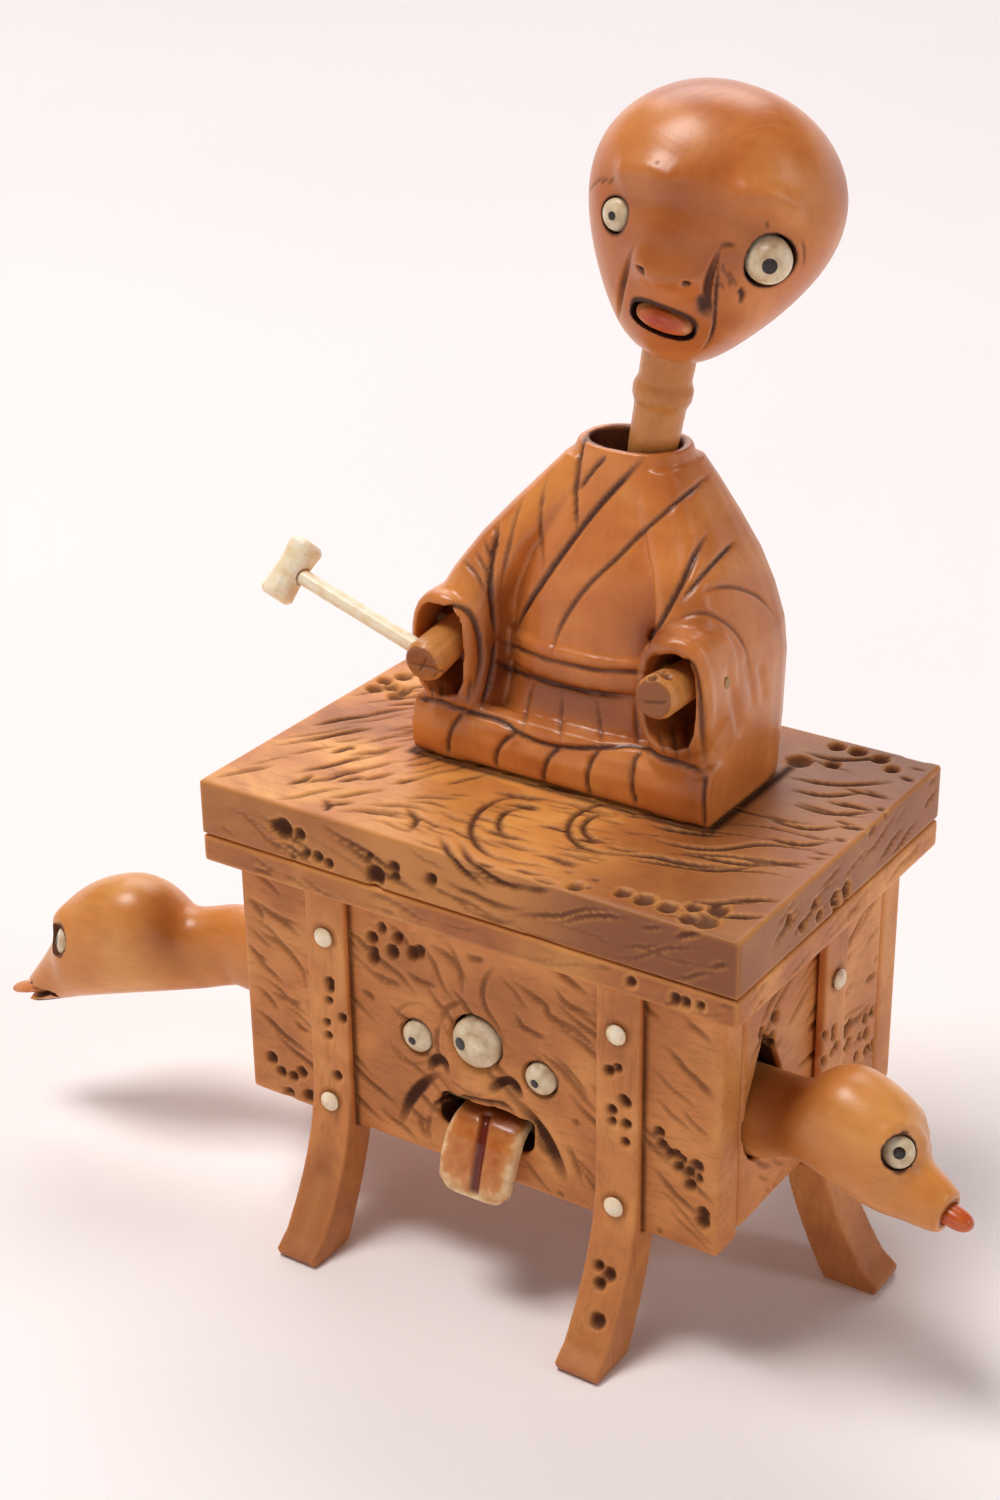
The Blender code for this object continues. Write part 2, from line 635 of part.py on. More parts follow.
# The long-necked heads, from the neck's bend forwards: distance along the head's own line,
# rise of the section's middle above that line, half height and half width.
RIGHT_HEAD = [(0.0, 0.3, 5.4, 4.6), (1.5, 1.4, 5.35, 4.6), (3.0, 3.0, 6.0, 5.3), (5.0, 4.3, 6.8, 6.0),
              (7.6, 4.6, 7.1, 6.3), (10.1, 4.25, 7.15, 6.3), (12.6, 3.9, 7.0, 6.2), (14.6, 3.4, 6.4, 5.8),
              (15.9, 2.35, 5.4, 4.9), (17.0, 1.3, 4.2, 4.0), (18.2, 1.0, 3.6, 3.5), (20.2, 0.85, 3.25, 3.25),
              (22.2, 0.65, 2.6, 2.6)]
LEFT_HEAD = [(0.0, -0.2, 5.6, 4.6), (5.4, -0.7, 5.5, 4.6), (6.6, 0.55, 6.6, 5.4), (8.6, 1.65, 7.6, 6.4),
             (11.0, 2.35, 8.2, 7.0), (13.5, 2.55, 8.35, 7.2), (17.6, 2.35, 8.1, 7.1), (21.4, 1.5, 7.3, 6.6),
             (23.6, 0.5, 6.4, 5.8), (24.6, -1.0, 5.1, 4.9), (26.0, -2.0, 4.2, 4.2), (29.1, -3.8, 2.7, 3.2),
             (31.0, -4.6, 1.8, 2.6)]

# Each long-necked head: which side, height of the neck, its inner end and its bend from the
# chest's middle, droop and turn to the front in degrees, its front and back eye (distance, rise
# and sideways share of the section, then look forwards, sideways and up), whether the mouth is
# a slit right across, and the tongue's half width and half height.
CREATURES = {
    "right": {"side": 1, "neck_z": 30.4, "neck_in": RIGHT_NECK_IN, "bend": 37.5, "droop": 9.0,
              "turn": 8.0, "head": RIGHT_HEAD, "slit": False, "tongue": (1.4, 1.25),
              "front_eye": (15.9, 0.84, 0.54, 0.50, 0.70, 0.51),
              "back_eye": (14.2, 0.22, 0.97, 0.30, 0.94, 0.12)},
    "left": {"side": -1, "neck_z": 28.9, "neck_in": LEFT_NECK_IN, "bend": 45.0, "droop": 11.1,
             "turn": 20.0, "head": LEFT_HEAD, "slit": True, "tongue": (1.4, 0.65),
             "front_eye": (23.0, 0.58, 0.76, 0.86, 0.38, 0.34),
             "back_eye": (22.4, 0.56, 0.83, 0.75, 0.53, 0.40)},
}


def creature_section(table, distance):
    """Rise, half height and half width of a long-necked head at a distance."""
    for before, after in zip(table, table[1:]):
        if before[0] <= distance <= after[0]:
            part = (distance - before[0]) / (after[0] - before[0])
            return [before[at] * (1 - part) + after[at] * part for at in (1, 2, 3)]
    return table[-1][1:]


def make_creature(label, shape, wood, bone, stained, slide):
    """A neck and head carved in one, with inlaid eyes and a tongue."""
    side, table = shape["side"], shape["head"]
    along, across, upright = Vector((side, 0, 0)), Vector((0, side, 0)), Vector((0, 0, 1))
    axis = Vector((0, NECK_Y, shape["neck_z"]))
    neck_in = shape["neck_in"]
    drop, turn = math.radians(shape["droop"]), math.radians(shape["turn"])
    forward = Vector((side * math.cos(drop) * math.cos(turn), -math.cos(drop) * math.sin(turn),
                      -math.sin(drop)))
    sideways = upright.cross(forward).normalized()
    up = forward.cross(sideways)
    bend = axis + along * shape["bend"]
    rings = [oval(axis + along * x, across, upright, NECK_WIDE / 2, NECK_HIGH / 2, 2.0, 18)
             for x in (neck_in, shape["bend"] - 2.0)]
    for distance, rise, half_up, half_side in table:
        middle = bend + forward * distance + up * rise
        rings.append(oval(middle, sideways, up, half_side, half_up, 2.1, 18))
    body = loft(label + "_monster", rings)
    stem = Vector((0, NECK_Y, NECK_Z))
    cut(body, rod("bore", stem + along * (neck_in - 1), stem + along * (neck_in + STEM_SOCKET),
                  STEM + 2 * SEAT, 12))

    for eye_label, sign in (("front", -side), ("back", side)):
        distance, up_share, side_share, ahead, aside, above = shape[eye_label + "_eye"]
        rise, half_up, half_side = creature_section(table, distance)
        look = (forward * ahead + sideways * sign * aside + up * above).normalized()
        face = (bend + forward * distance + up * (rise + half_up * up_share)
                + sideways * sign * half_side * side_share)
        cut(body, eye_socket(face, look, CREATURE_EYE, CREATURE_EYE_DEPTH))
        eye = button_eye(f"{label}_monster_{eye_label}_eye", face, look, CREATURE_EYE,
                         CREATURE_EYE_DEPTH, 0.6)
        seat(eye, bone, slide)

    beak = bend + forward * table[-1][0] + up * table[-1][1]
    wide, high = shape["tongue"]
    gap_wide = table[-1][3] + 2.0 if shape["slit"] else wide + SEAT
    mouth = [oval(beak + forward * step, sideways, up, gap_wide, high + SEAT, 2.4, 14)
             for step in (-CREATURE_MOUTH_DEPTH, 2.0)]
    cut(body, loft("mouth", mouth))
    tongue = [oval(beak + forward * step, sideways, up, wide * share, high * share, 2.4, 14)
              for step, share in ((SEAT - CREATURE_MOUTH_DEPTH, 1.0), (1.4, 1.0), (2.6, 0.8), (3.2, 0.35))]
    seat(loft(label + "_monster_tongue", tongue), stained, slide)
    seat(body, wood, slide)


def make_crank(wood, root):
    """Knob, shaft and disc with its two pins, and the block that carries the shaft."""
    axis = Vector((0, 0, CRANK_Z))
    crank = pivot("crank_axis", axis, root)
    outside = -FRONT_FACE + SEAT
    shaft = rod("crank_shaft", axis + Vector((0, DISC_FRONT + 0.8, 0)),
                axis + Vector((0, outside + KNOB_LENGTH - 1.5, 0)), CRANK_SHAFT, 16)
    seat(shaft, wood, crank)

    radius = CRANK_DISC / 2
    disc = turned("crank_disc", [(0, radius), (CRANK_DISC_THICK, radius)],
                  axis + Vector((0, DISC_FRONT, 0)), (0, 1, 0), 24)
    angle = -math.pi / 2 - HALF_TURN
    slide_at = axis + Vector((math.cos(angle), 0, math.sin(angle))) * SLIDE_PIN_RADIUS
    lift_at = axis + Vector((math.cos(HALF_TURN), 0, -math.sin(HALF_TURN))) * LIFT_PIN_RADIUS
    inside = Vector((0, DISC_FRONT + 1, 0))
    join(disc, rod("pin", slide_at + Vector((0, LUG_BACK - LUG_THICK, 0)), slide_at + inside,
                   SLIDE_PIN, 12),
         rod("pin", lift_at + Vector((0, YOKE_FRONT + 0.2, 0)), lift_at + inside, LIFT_PIN, 12))
    cut(disc, rod("bore", axis + Vector((0, DISC_FRONT + 0.8 - SEAT, 0)),
                  axis + Vector((0, DISC_BACK + 1, 0)), CRANK_SHAFT + 2 * SEAT, 16))
    seat(disc, wood, crank)

    grip = KNOB / 2
    profile = [(0, grip * 0.62), (1.0, grip * 0.62), (1.6, grip * 0.55), (2.4, grip * 0.85),
               (3.6, grip), (5.0, grip), (KNOB_LENGTH - 0.5, grip * 0.8), (KNOB_LENGTH, grip * 0.35)]
    knob = turned("crank_knob", profile, axis + Vector((0, outside + 0.15, 0)), (0, 1, 0), 20)
    cut(knob, rod("bore", axis + Vector((0, outside - 1, 0)),
                  axis + Vector((0, outside + KNOB_LENGTH - 1.5 + SEAT, 0)),
                  CRANK_SHAFT + 2 * SEAT, 16))
    seat(knob, wood, crank)

    half = BEARING_WIDTH / 2
    block = box("bearing_block", (-half, BEARING_FRONT, BOTTOM_TOP + SEAT),
                (half, BEARING_BACK, CRANK_Z + BEARING_TOP), 0.4)
    cut(block, rod("bore", axis + Vector((0, BEARING_FRONT - 1, 0)),
                   axis + Vector((0, BEARING_BACK + 1, 0)), CRANK_SHAFT + 2 * RUNNING, 16))
    seat(block, wood, root)


def make_lift(wood, root):
    """The rod that the second crank pin lifts, and the crossbar on top of it."""
    place = Vector((LIFT_X, LIFT_Y, CRANK_Z))
    lift = pivot("lift_slide", place, root)
    pin_z = CRANK_Z - LIFT_PIN_RADIUS * math.sin(HALF_TURN)
    slot_half = LIFT_PIN / 2 + RUNNING
    low = pin_z - slot_half - 0.7
    half = YOKE_WIDTH / 2
    back = LIFT_Y + LIFT_THICK / 2
    yoke = box("lift_rod", (LIFT_X - half, YOKE_FRONT, low), (LIFT_X + half, back, low + YOKE_HIGH))
    slot_low = LIFT_PIN_RADIUS * math.cos(HALF_TURN) - slot_half
    slot_high = LIFT_PIN_RADIUS + slot_half
    cut(yoke, box("slot", (slot_low, YOKE_FRONT - 1, pin_z - slot_half),
                  (slot_high, back + 1, pin_z + slot_half)))
    join(yoke, rod("rod", (LIFT_X, LIFT_Y, low + YOKE_HIGH - 1),
                   (LIFT_X, LIFT_Y, CROSSBAR_LOW + CROSSBAR - 0.8), LIFT_THICK, 12))
    seat(yoke, wood, lift)

    reach = ARM_X + ARM_TAIL / 2 + 0.4
    bar = box("lift_crossbar", (FIGURE_X - reach, YOKE_FRONT, CROSSBAR_LOW),
              (FIGURE_X + reach, back, CROSSBAR_TOP))
    finger_x = NECK_PIVOT.x + NECK_ARM
    tilt = NECK_SWAY / 2
    arm_under = NECK_PIVOT.z - NECK_ARM * math.tan(tilt) - NECK_ARM_THICK / 2 / math.cos(tilt)
    finger_top = arm_under - RUNNING - FINGER_WIDTH / 2 * math.tan(tilt)
    join(bar, box("finger", (finger_x - FINGER_WIDTH / 2, YOKE_FRONT, CROSSBAR_LOW),
                  (finger_x + FINGER_WIDTH / 2, back, finger_top)))
    boss = rod("boss", (LIFT_X, LIFT_Y, CROSSBAR_LOW - 1.2), (LIFT_X, LIFT_Y, CROSSBAR_TOP), 4.6, 12)
    join(bar, boss)
    cut(bar, rod("bore", (LIFT_X, LIFT_Y, CROSSBAR_LOW - 3),
                 (LIFT_X, LIFT_Y, CROSSBAR_LOW + CROSSBAR - 0.8 + SEAT), LIFT_THICK + 2 * SEAT, 12))
    seat(bar, wood, lift)


# The robe's trunk: height above the lid, half width, front and back.
TRUNK = [(0.0, 15.0, -3.6, 16.8), (5.5, 14.2, -3.5, 17.2), (8.5, 13.2, -2.3, 17.4),
         (13.0, 12.4, -1.5, 17.4), (17.5, 12.6, -1.2, 17.5), (22.0, 13.4, -0.4, 17.5),
         (27.0, 13.6, 1.2, 17.5), (31.0, 12.4, 2.9, 17.4), (35.0, 9.8, 4.5, 17.2),
         (38.0, 7.8, 5.4, 17.0), (40.3, 6.9, 6.1, 16.7)]

# The belt over it: height, half width and front.
BELT = [(12.6, 12.2, -1.2), (13.0, 12.9, -2.1), (16.8, 12.9, -1.9), (17.2, 12.2, -0.9)]
BELT_BACK = 17.4

# One sleeve: height, inner edge, outer edge, front and back.
SLEEVE = [(0.0, 10.5, 20.9, -5.2, 16.0), (8.0, 10.6, 21.1, -5.3, 16.6), (16.0, 10.8, 21.0, -5.1, 17.0),
          (20.0, 10.6, 20.3, -4.3, 17.1), (24.0, 9.6, 18.6, -2.3, 17.2), (28.0, 7.8, 16.3, 0.2, 17.2),
          (32.0, 5.0, 13.3, 2.9, 17.0), (36.0, 2.0, 10.0, 5.0, 16.8), (38.6, 0.5, 7.8, 6.2, 16.4)]


def make_robe(wood, root):
    """The carved robe: trunk, belt, two sleeves and the rolled hem, hollow inside."""
    rise = ROBE_HEIGHT / TRUNK[-1][0]
    top_shift = COLLAR_X - FIGURE_X
    rings = []
    for height, half, front, back in TRUNK:
        middle = FIGURE_X + top_shift * (height / TRUNK[-1][0]) ** 2
        rings.append(level_ring(middle - half, middle + half, front, back,
                                ROBE_LOW + height * rise, 2.4, 28))
    robe = loft("robe", rings)

    belt = [level_ring(FIGURE_X - half, FIGURE_X + half, front, BELT_BACK, ROBE_LOW + height * rise, 2.4, 28)
            for height, half, front in BELT]
    join(robe, loft("belt", belt))

    for side in (-1, 1):
        rings = []
        for height, inner, outer, front, back in SLEEVE:
            low_x, high_x = sorted((side * inner, side * outer))
            shift = FIGURE_X + top_shift * (height / TRUNK[-1][0]) ** 2
            rings.append(level_ring(shift + low_x, shift + high_x, front, back,
                                    ROBE_LOW + height * rise, 3.4, 20))
        join(robe, loft("sleeve", rings))

    roll = [(3.0, 0.0), (-4.6, 0.0), (-5.25, 0.9), (-5.45, 3.6), (-5.1, 5.8), (-4.2, 7.2),
            (-2.9, 7.6), (-1.6, 7.0), (3.0, 6.0)]
    roll = [(y, z * ROLL_HIGH / 7.6) for y, z in roll]
    join(robe, slab("roll", roll, (FIGURE_X - ROLL_HALF, 0, ROBE_LOW), (0, 1, 0), (0, 0, 1),
                    (2 * ROLL_HALF, 0, 0)))
    hollow_robe(robe)
    seat(robe, wood, root)


def hollow_robe(robe):
    """The well for the lift rod, the cross slot for the arms, and the way up to the collar."""
    cut(robe, box("well", (LIFT_X - 3.4, LIFT_Y - 3.4, ROBE_LOW - 1),
                  (LIFT_X + 3.4, LIFT_Y + 3.4, CROSSBAR_LOW)))
    beside = ARM_TAIL / 2 + SLOT_SIDE
    slot_low, slot_high = MALLET_PIVOT.x - beside, EMPTY_PIVOT.x + beside
    slot = [(-1.0, 0.0), (5.0, 0.0), (10.0, 0.0), (SLOT_HIGH, 1.4)]
    rings = [level_ring(slot_low + tuck, slot_high - tuck, SLOT_FRONT, LIFT_Y + 3.4, CROSSBAR_LOW + height,
                        8.0, 28) for height, tuck in slot]
    cut(robe, loft("cross_slot", rings))
    for centre in (MALLET_PIVOT, EMPTY_PIVOT):
        cut(robe, box("arm_well", (centre.x - beside, ARM_WELL_FRONT, CROSSBAR_LOW - 1),
                      (centre.x + beside, SLOT_FRONT + 1, CROSSBAR_LOW + ARM_WELL_HIGH)))

    upper = [(20.5, -4.6, 15.8, 6.2, 15.2), (27.0, -4.6, 15.8, 6.2, 15.4), (30.2, -4.4, 14.4, 6.6, 15.4),
             (31.6, -4.2, 11.5, 7.0, 15.4)]
    rings = [level_ring(low, high, near, far, LID_TOP + height, 4.0, 24)
             for height, low, high, near, far in upper]
    half_wide, half_deep = COLLAR_WIDE / 2, COLLAR_DEEP / 2
    for height in (ROBE_HEIGHT - COLLAR_STRAIGHT, ROBE_HEIGHT + 1.0):
        rings.append(level_ring(COLLAR_X - half_wide, COLLAR_X + half_wide, COLLAR_Y - half_deep,
                                COLLAR_Y + half_deep, LID_TOP + height, 2.0, 24))
    cut(robe, loft("upper_hollow", rings))

    for centre in (MALLET_PIVOT, EMPTY_PIVOT):
        mouth = [oval((centre.x, y, centre.z - 1.6), (1, 0, 0), (0, 0, 1), 3.45, 6.0, 3.0, 16)
                 for y in (-7.0, 3.5)]
        cut(robe, loft("sleeve_mouth", mouth))
        outward = 1 if centre.x > FIGURE_X else -1
        cut(robe, rod("bore", centre - Vector((4.6 * outward, 0, 0)),
                      centre + Vector((ARM_PIN_WAY_IN * outward, 0, 0)), ARM_PIN + 2 * SEAT, 10))
    cut(robe, rod("bore", NECK_PIVOT - Vector((0, NECK_PIN_FRONT + SEAT, 0)),
                  NECK_PIVOT + Vector((0, NECK_PIN_BACK + SEAT, 0)), NECK_PIN + 2 * SEAT, 10))


# The figure's neck: distance along it from its pin, and radius.
NECK_PROFILE = [(4.0, 2.2), (9.0, 2.5), (13.0, 3.0), (17.0, 3.1), (18.6, 3.15), (19.6, 3.6), (20.8, 3.65),
                (21.8, 3.2), (24.0, 3.3), (27.0, 3.3)]

# The figure's head: height from its middle as a share of its half height, and the half width,
# the front and the back as shares of the half width and half depth.
HEAD_PROFILE = [(-0.985, 0.16, 0.24, 0.08), (-0.93, 0.30, 0.44, 0.22), (-0.80, 0.45, 0.64, 0.40),
                (-0.62, 0.60, 0.78, 0.58), (-0.42, 0.75, 0.86, 0.74), (-0.20, 0.88, 0.92, 0.88),
                (0.02, 0.97, 0.96, 0.98), (0.24, 1.0, 0.98, 1.02), (0.46, 0.96, 0.93, 0.98),
                (0.66, 0.83, 0.80, 0.86), (0.82, 0.64, 0.61, 0.67), (0.93, 0.42, 0.40, 0.44),
                (0.99, 0.17, 0.16, 0.18)]


def head_point(lean, across, front, up):
    """A point on the figure's head, from shares of its half width, half depth and half height."""
    tilt = Matrix.Rotation(lean + math.radians(HEAD_TILT), 3, "Y")
    turn = tilt @ Matrix.Rotation(math.radians(HEAD_YAW), 3, "Z")
    chin = NECK_PIVOT + Matrix.Rotation(lean, 3, "Y") @ Vector((0, 0, CHIN_FROM_PIVOT))
    middle = chin + tilt @ Vector((0, 0, HEAD_HIGH / 2))
    local = Vector((across * HEAD_WIDTH / 2, -front * HEAD_DEPTH / 2, up * HEAD_HIGH / 2))
    return middle + turn @ local, turn


def make_figure_head(wood, bone, stained, root):
    """Neck and head on the neck's pin, with the fixed eye, the popping eye and the tongue."""
    lean = NECK_SWAY / 2
    sway = pivot("neck_pivot", NECK_PIVOT, root)
    tilt = Matrix.Rotation(lean, 3, "Y")
    axis = tilt @ Vector((0, 0, 1))
    neck = turned("neck", NECK_PROFILE, NECK_PIVOT, axis, 18)
    flat = NECK_BORE_WALL + NECK_PIN / 2
    core = [(-flat, -flat), (flat, -flat), (flat, 6.0), (-flat, 6.0)]
    out = tilt @ Vector((1, 0, 0))
    deep = 4.0
    hub = slab("hub", core, NECK_PIVOT - Vector((0, deep / 2, 0)), out, axis, (0, deep, 0))
    half = NECK_ARM_THICK / 2
    arm = [(0, -half), (NECK_ARM + 1.0, -half), (NECK_ARM + 1.0, half), (0, half)]
    arm_y = YOKE_FRONT + 0.2
    arm = slab("arm", arm, Vector((NECK_PIVOT.x, arm_y, NECK_PIVOT.z)), out, axis,
               (0, NECK_PIVOT.y + 1.0 - arm_y, 0))
    join(neck, hub, arm)
    cut(neck, rod("bore", NECK_PIVOT - Vector((0, 6, 0)), NECK_PIVOT + Vector((0, 6, 0)),
                  NECK_PIN + 2 * SEAT, 12))
    seat(neck, wood, sway)
    pin = rod("neck_pin", NECK_PIVOT - Vector((0, NECK_PIN_FRONT, 0)),
              NECK_PIVOT + Vector((0, NECK_PIN_BACK, 0)), NECK_PIN, 12)
    seat(pin, wood, root)

    rings = []
    middle, turn = head_point(lean, 0, 0, 0)
    side, up = turn @ Vector((1, 0, 0)), turn @ Vector((0, 0, 1))
    for height, half, front, back in HEAD_PROFILE:
        centre = head_point(lean, 0, (front - back) / 2, height)[0]
        rings.append(oval(centre, side, turn @ Vector((0, 1, 0)), half * HEAD_WIDTH / 2,
                          (front + back) / 2 * HEAD_DEPTH / 2, 2.15, 24))
    head = loft("head", rings)
    cut(head, turned("socket", [(-2, 3.3 + SEAT), (3.2, 3.3 + SEAT)],
                     NECK_PIVOT + axis * (NECK_LENGTH - 3.0), axis, 18))
    forward = turn @ Vector((0, -1, 0))
    nose = [oval(head_point(lean, 0, 0.80 + out_by, -0.12)[0] + up * rise, side, up, wide, high, 2.0, 14)
            for out_by, rise, wide, high in ((0.0, 0.4, 4.6, 3.6), (0.13, 0.0, 4.0, 3.0),
                                             (0.21, -0.3, 2.9, 2.1), (0.25, -0.4, 1.4, 1.0))]
    join(head, loft("nose", nose))

    mouth_at = head_point(lean, 0.0, 0.84, -0.52)[0]
    mouth = [oval(mouth_at + forward * step, side, up, 3.9, 1.9, 2.6, 16) for step in (-3.6, 4.0)]
    cut(head, loft("mouth", mouth))
    lip = pivot("mouth_tongue_slide", mouth_at, sway)
    tongue = [oval(mouth_at + forward * step, side, up, 3.4 * share, 1.45 * share, 2.4, 16)
              for step, share in ((-3.2, 1.0), (-1.5, 1.0), (-0.7, 0.8), (-0.4, 0.4))]
    seat(loft("mouth_tongue", tongue), stained, lip)

    fixed_at, look = eye_place(lean, *FIXED_EYE_PLACE)
    cut(head, eye_socket(fixed_at, look, FIXED_EYE, 1.6))
    seat(button_eye("fixed_eye", fixed_at, look, FIXED_EYE, 1.6, 0.6), bone, sway)

    pop_at, look = eye_place(lean, *POP_EYE_PLACE)
    cut(head, rod("socket", pop_at - look * 7.5, pop_at + look * 6, POP_EYE + 2 * RUNNING, 16))
    pop = pivot("popping_eye_slide", pop_at, sway)
    ball = [(-6.6, 1.2), (-3.4, 1.2), (-3.2, 2.2), (-2.2, 2.8), (-0.9, POP_EYE / 2), (0.4, 2.85), (1.6, 2.2),
            (2.2, 1.4), (2.45, 0.5)]
    seat(turned("popping_eye", ball, pop_at, look, 18), bone, pop)
    seat(head, wood, sway)


def eye_place(lean, place_deg, height, look_deg):
    """A place on the face at an angle from its middle line, and the way that its eye looks."""
    angle = math.radians(place_deg)
    at, turn = head_point(lean, math.sin(angle) * 0.93, math.cos(angle) * 0.93, height)
    angle = math.radians(look_deg)
    out = turn @ Vector((math.sin(angle) * HEAD_DEPTH, -math.cos(angle) * HEAD_WIDTH, 0.0))
    return at, out.normalized()


def make_arm(name, centre, reach, droop, wood, pin_wood, root):
    """A stub arm on a pin through the sleeve, with a tail that the crossbar lifts."""
    hinge = pivot(name + "_pivot", centre, root)
    drop = math.radians(droop)
    forward = Vector((0, -math.cos(drop), -math.sin(drop)))
    base = centre - Vector((0, 0, 0.5))
    profile = [(-2.0, ARM * 0.36), (0.5, ARM * 0.44), (reach - 0.9, ARM * 0.5), (reach, ARM * 0.42)]
    arm = turned(name, profile, base, forward, 16)
    tail_run = LIFT_Y - centre.y
    tilt = math.atan(LIFT_TRAVEL / 2 / tail_run)
    out = Vector((0, math.cos(tilt), -math.sin(tilt)))
    up = Vector((0, math.sin(tilt), math.cos(tilt)))
    length = (tail_run + TAIL_PAST_BAR) / math.cos(tilt)
    under = CROSSBAR_TOP + RUNNING - centre.z + tail_run * math.tan(tilt)
    under_at_pin = under * math.cos(tilt)
    half = ARM_TAIL / 2
    outline = [(0.0, under_at_pin), (length, under_at_pin), (length, under_at_pin + 2.0),
               (0.0, under_at_pin + 3.4)]
    tail = slab("tail", outline, centre - Vector((half, 0, 0)), out, up, (ARM_TAIL, 0, 0))
    join(arm, tail)
    cut(arm, rod("bore", centre - Vector((5, 0, 0)), centre + Vector((5, 0, 0)),
                 ARM_PIN + 2 * SEAT, 10))
    seat(arm, wood, hinge)
    outward = 1 if centre.x > FIGURE_X else -1
    pin = rod(name + "_pin", centre - Vector((4.4 * outward, 0, 0)),
              centre + Vector((5.3 * outward, 0, 0)), ARM_PIN, 10)
    seat(pin, pin_wood, root)
    return hinge, base + forward * (reach - 2.2)


def make_arms(wood, dark, bone, root):
    """Both arms, and the mallet in the figure's right hand."""
    make_arm("empty_arm", EMPTY_PIVOT, EMPTY_ARM_REACH, EMPTY_ARM_DROOP, wood, dark, root)
    hinge, grip = make_arm("mallet_arm", MALLET_PIVOT, MALLET_ARM_REACH, MALLET_ARM_DROOP, wood,
                           dark, root)
    rise = math.radians(HANDLE_RISE)
    out = Vector((-math.cos(rise), 0, math.sin(rise)))
    start = grip - out * 1.6
    arm = bpy.data.objects["mallet_arm"]
    bore = rod("bore", start - out * SEAT, grip + out * 6, HANDLE + 2 * SEAT, 10)
    cut(arm, seat(bore, wood, hinge))
    handle = rod("mallet_handle", start, start + out * HANDLE_LENGTH, HANDLE, 10)
    seat(handle, bone, hinge)

    head_at = start + out * (HANDLE_LENGTH + 0.2)
    lie = Vector((0.22, 0.62, 0.75))
    lie = (lie - out * lie.dot(out)).normalized()
    radius = MALLET_HEAD / 2
    half = MALLET_HEAD_LENGTH / 2
    profile = [(-half, radius * 0.7), (-half * 0.85, radius * 0.95), (-half * 0.3, radius * 0.86),
               (half * 0.3, radius * 0.86), (half * 0.85, radius * 0.95), (half, radius * 0.7)]
    head = turned("mallet_head", profile, head_at + out * radius * 0.55, lie, 16)
    cut(head, rod("bore", head_at - out * 4, head_at + out * SEAT, HANDLE + 2 * SEAT, 10))
    seat(head, bone, hinge)


def centre_on_base(root):
    """Move the whole toy so that the middle of its footprint box is the origin."""
    bpy.context.view_layer.update()
    corners = [piece.matrix_world @ vert.co for piece in bpy.data.objects if piece.type == "MESH"
               for vert in piece.data.vertices]
    low = [min(corner[axis] for corner in corners) for axis in range(3)]
    high = [max(corner[axis] for corner in corners) for axis in range(3)]
    root.location = (-(low[0] + high[0]) / 2, -(low[1] + high[1]) / 2, -low[2])
    bpy.context.view_layer.update()


def report_places():
    """Print each joint's place in the toy's own frame."""
    for piece in bpy.data.objects:
        if piece.type == "EMPTY":
            place = piece.matrix_world.translation
            print(f"place {piece.name} {place.x:.6f} {place.y:.6f} {place.z:.6f}")
    ratio = math.radians(CRANK_TURN)
    for label, place in (("fixed", FIXED_EYE_PLACE), ("popping", POP_EYE_PLACE)):
        look = eye_place(NECK_SWAY / 2, *place)[1]
        print(f"{label} eye looks {look.x:.5f} {look.y:.5f} {look.z:.5f}")
    ahead = head_point(NECK_SWAY / 2, 0, 0, 0)[1] @ Vector((0, -1, 0))
    print(f"mouth looks {ahead.x:.5f} {ahead.y:.5f} {ahead.z:.5f}")
    print(f"slide {SLIDE_TRAVEL:.4f} mm, lift {LIFT_TRAVEL:.4f} mm, turn {ratio:.6f} rad")
    print(f"sway {math.degrees(NECK_SWAY):.4f} deg")
    for label, centre in (("mallet", MALLET_PIVOT), ("empty", EMPTY_PIVOT)):
        swing = 2 * math.atan(LIFT_TRAVEL / 2 / (LIFT_Y - centre.y))
        print(f"{label} arm swing {math.degrees(swing):.4f} deg")


def main():
    clear_scene()
    chest_wood = finish("chest_wood", "B57A4C", 0.45)
    robe_wood = finish("robe_boxwood", "C0743A", 0.35)
    creature_wood = finish("creature_boxwood", "CC8A4E", 0.35)
    inner_wood = finish("inner_wood", "B88A5C", 0.6)
    bone = finish("bone", "E6DDBE", 0.35)
    stained = finish("stained_bone", "C9743F", 0.35)

    root = bpy.data.objects.new("toy", None)
    bpy.context.scene.collection.objects.link(root)
    root["place"] = (0.0, 0.0, 0.0)
    make_chest(chest_wood, root)
    make_lid(chest_wood, root)
    make_legs(chest_wood, bone, root)
    make_chest_face(bone, stained, inner_wood, root)
    slide = pivot("monster_slide", (0, NECK_Y, NECK_Z), root)
    make_slide_bar(inner_wood, slide)
    for label, shape in CREATURES.items():
        make_creature(label, shape, creature_wood, bone, stained, slide)
    make_crank(inner_wood, root)
    make_lift(inner_wood, root)
    make_robe(robe_wood, root)
    make_figure_head(robe_wood, bone, stained, root)
    make_arms(robe_wood, inner_wood, bone, root)
    centre_on_base(root)
    report_places()


main()
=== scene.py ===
import json
import math

import bmesh
import bpy
import numpy as np
from mathutils import Euler, Matrix, Vector
from mathutils.bvhtree import BVHTree


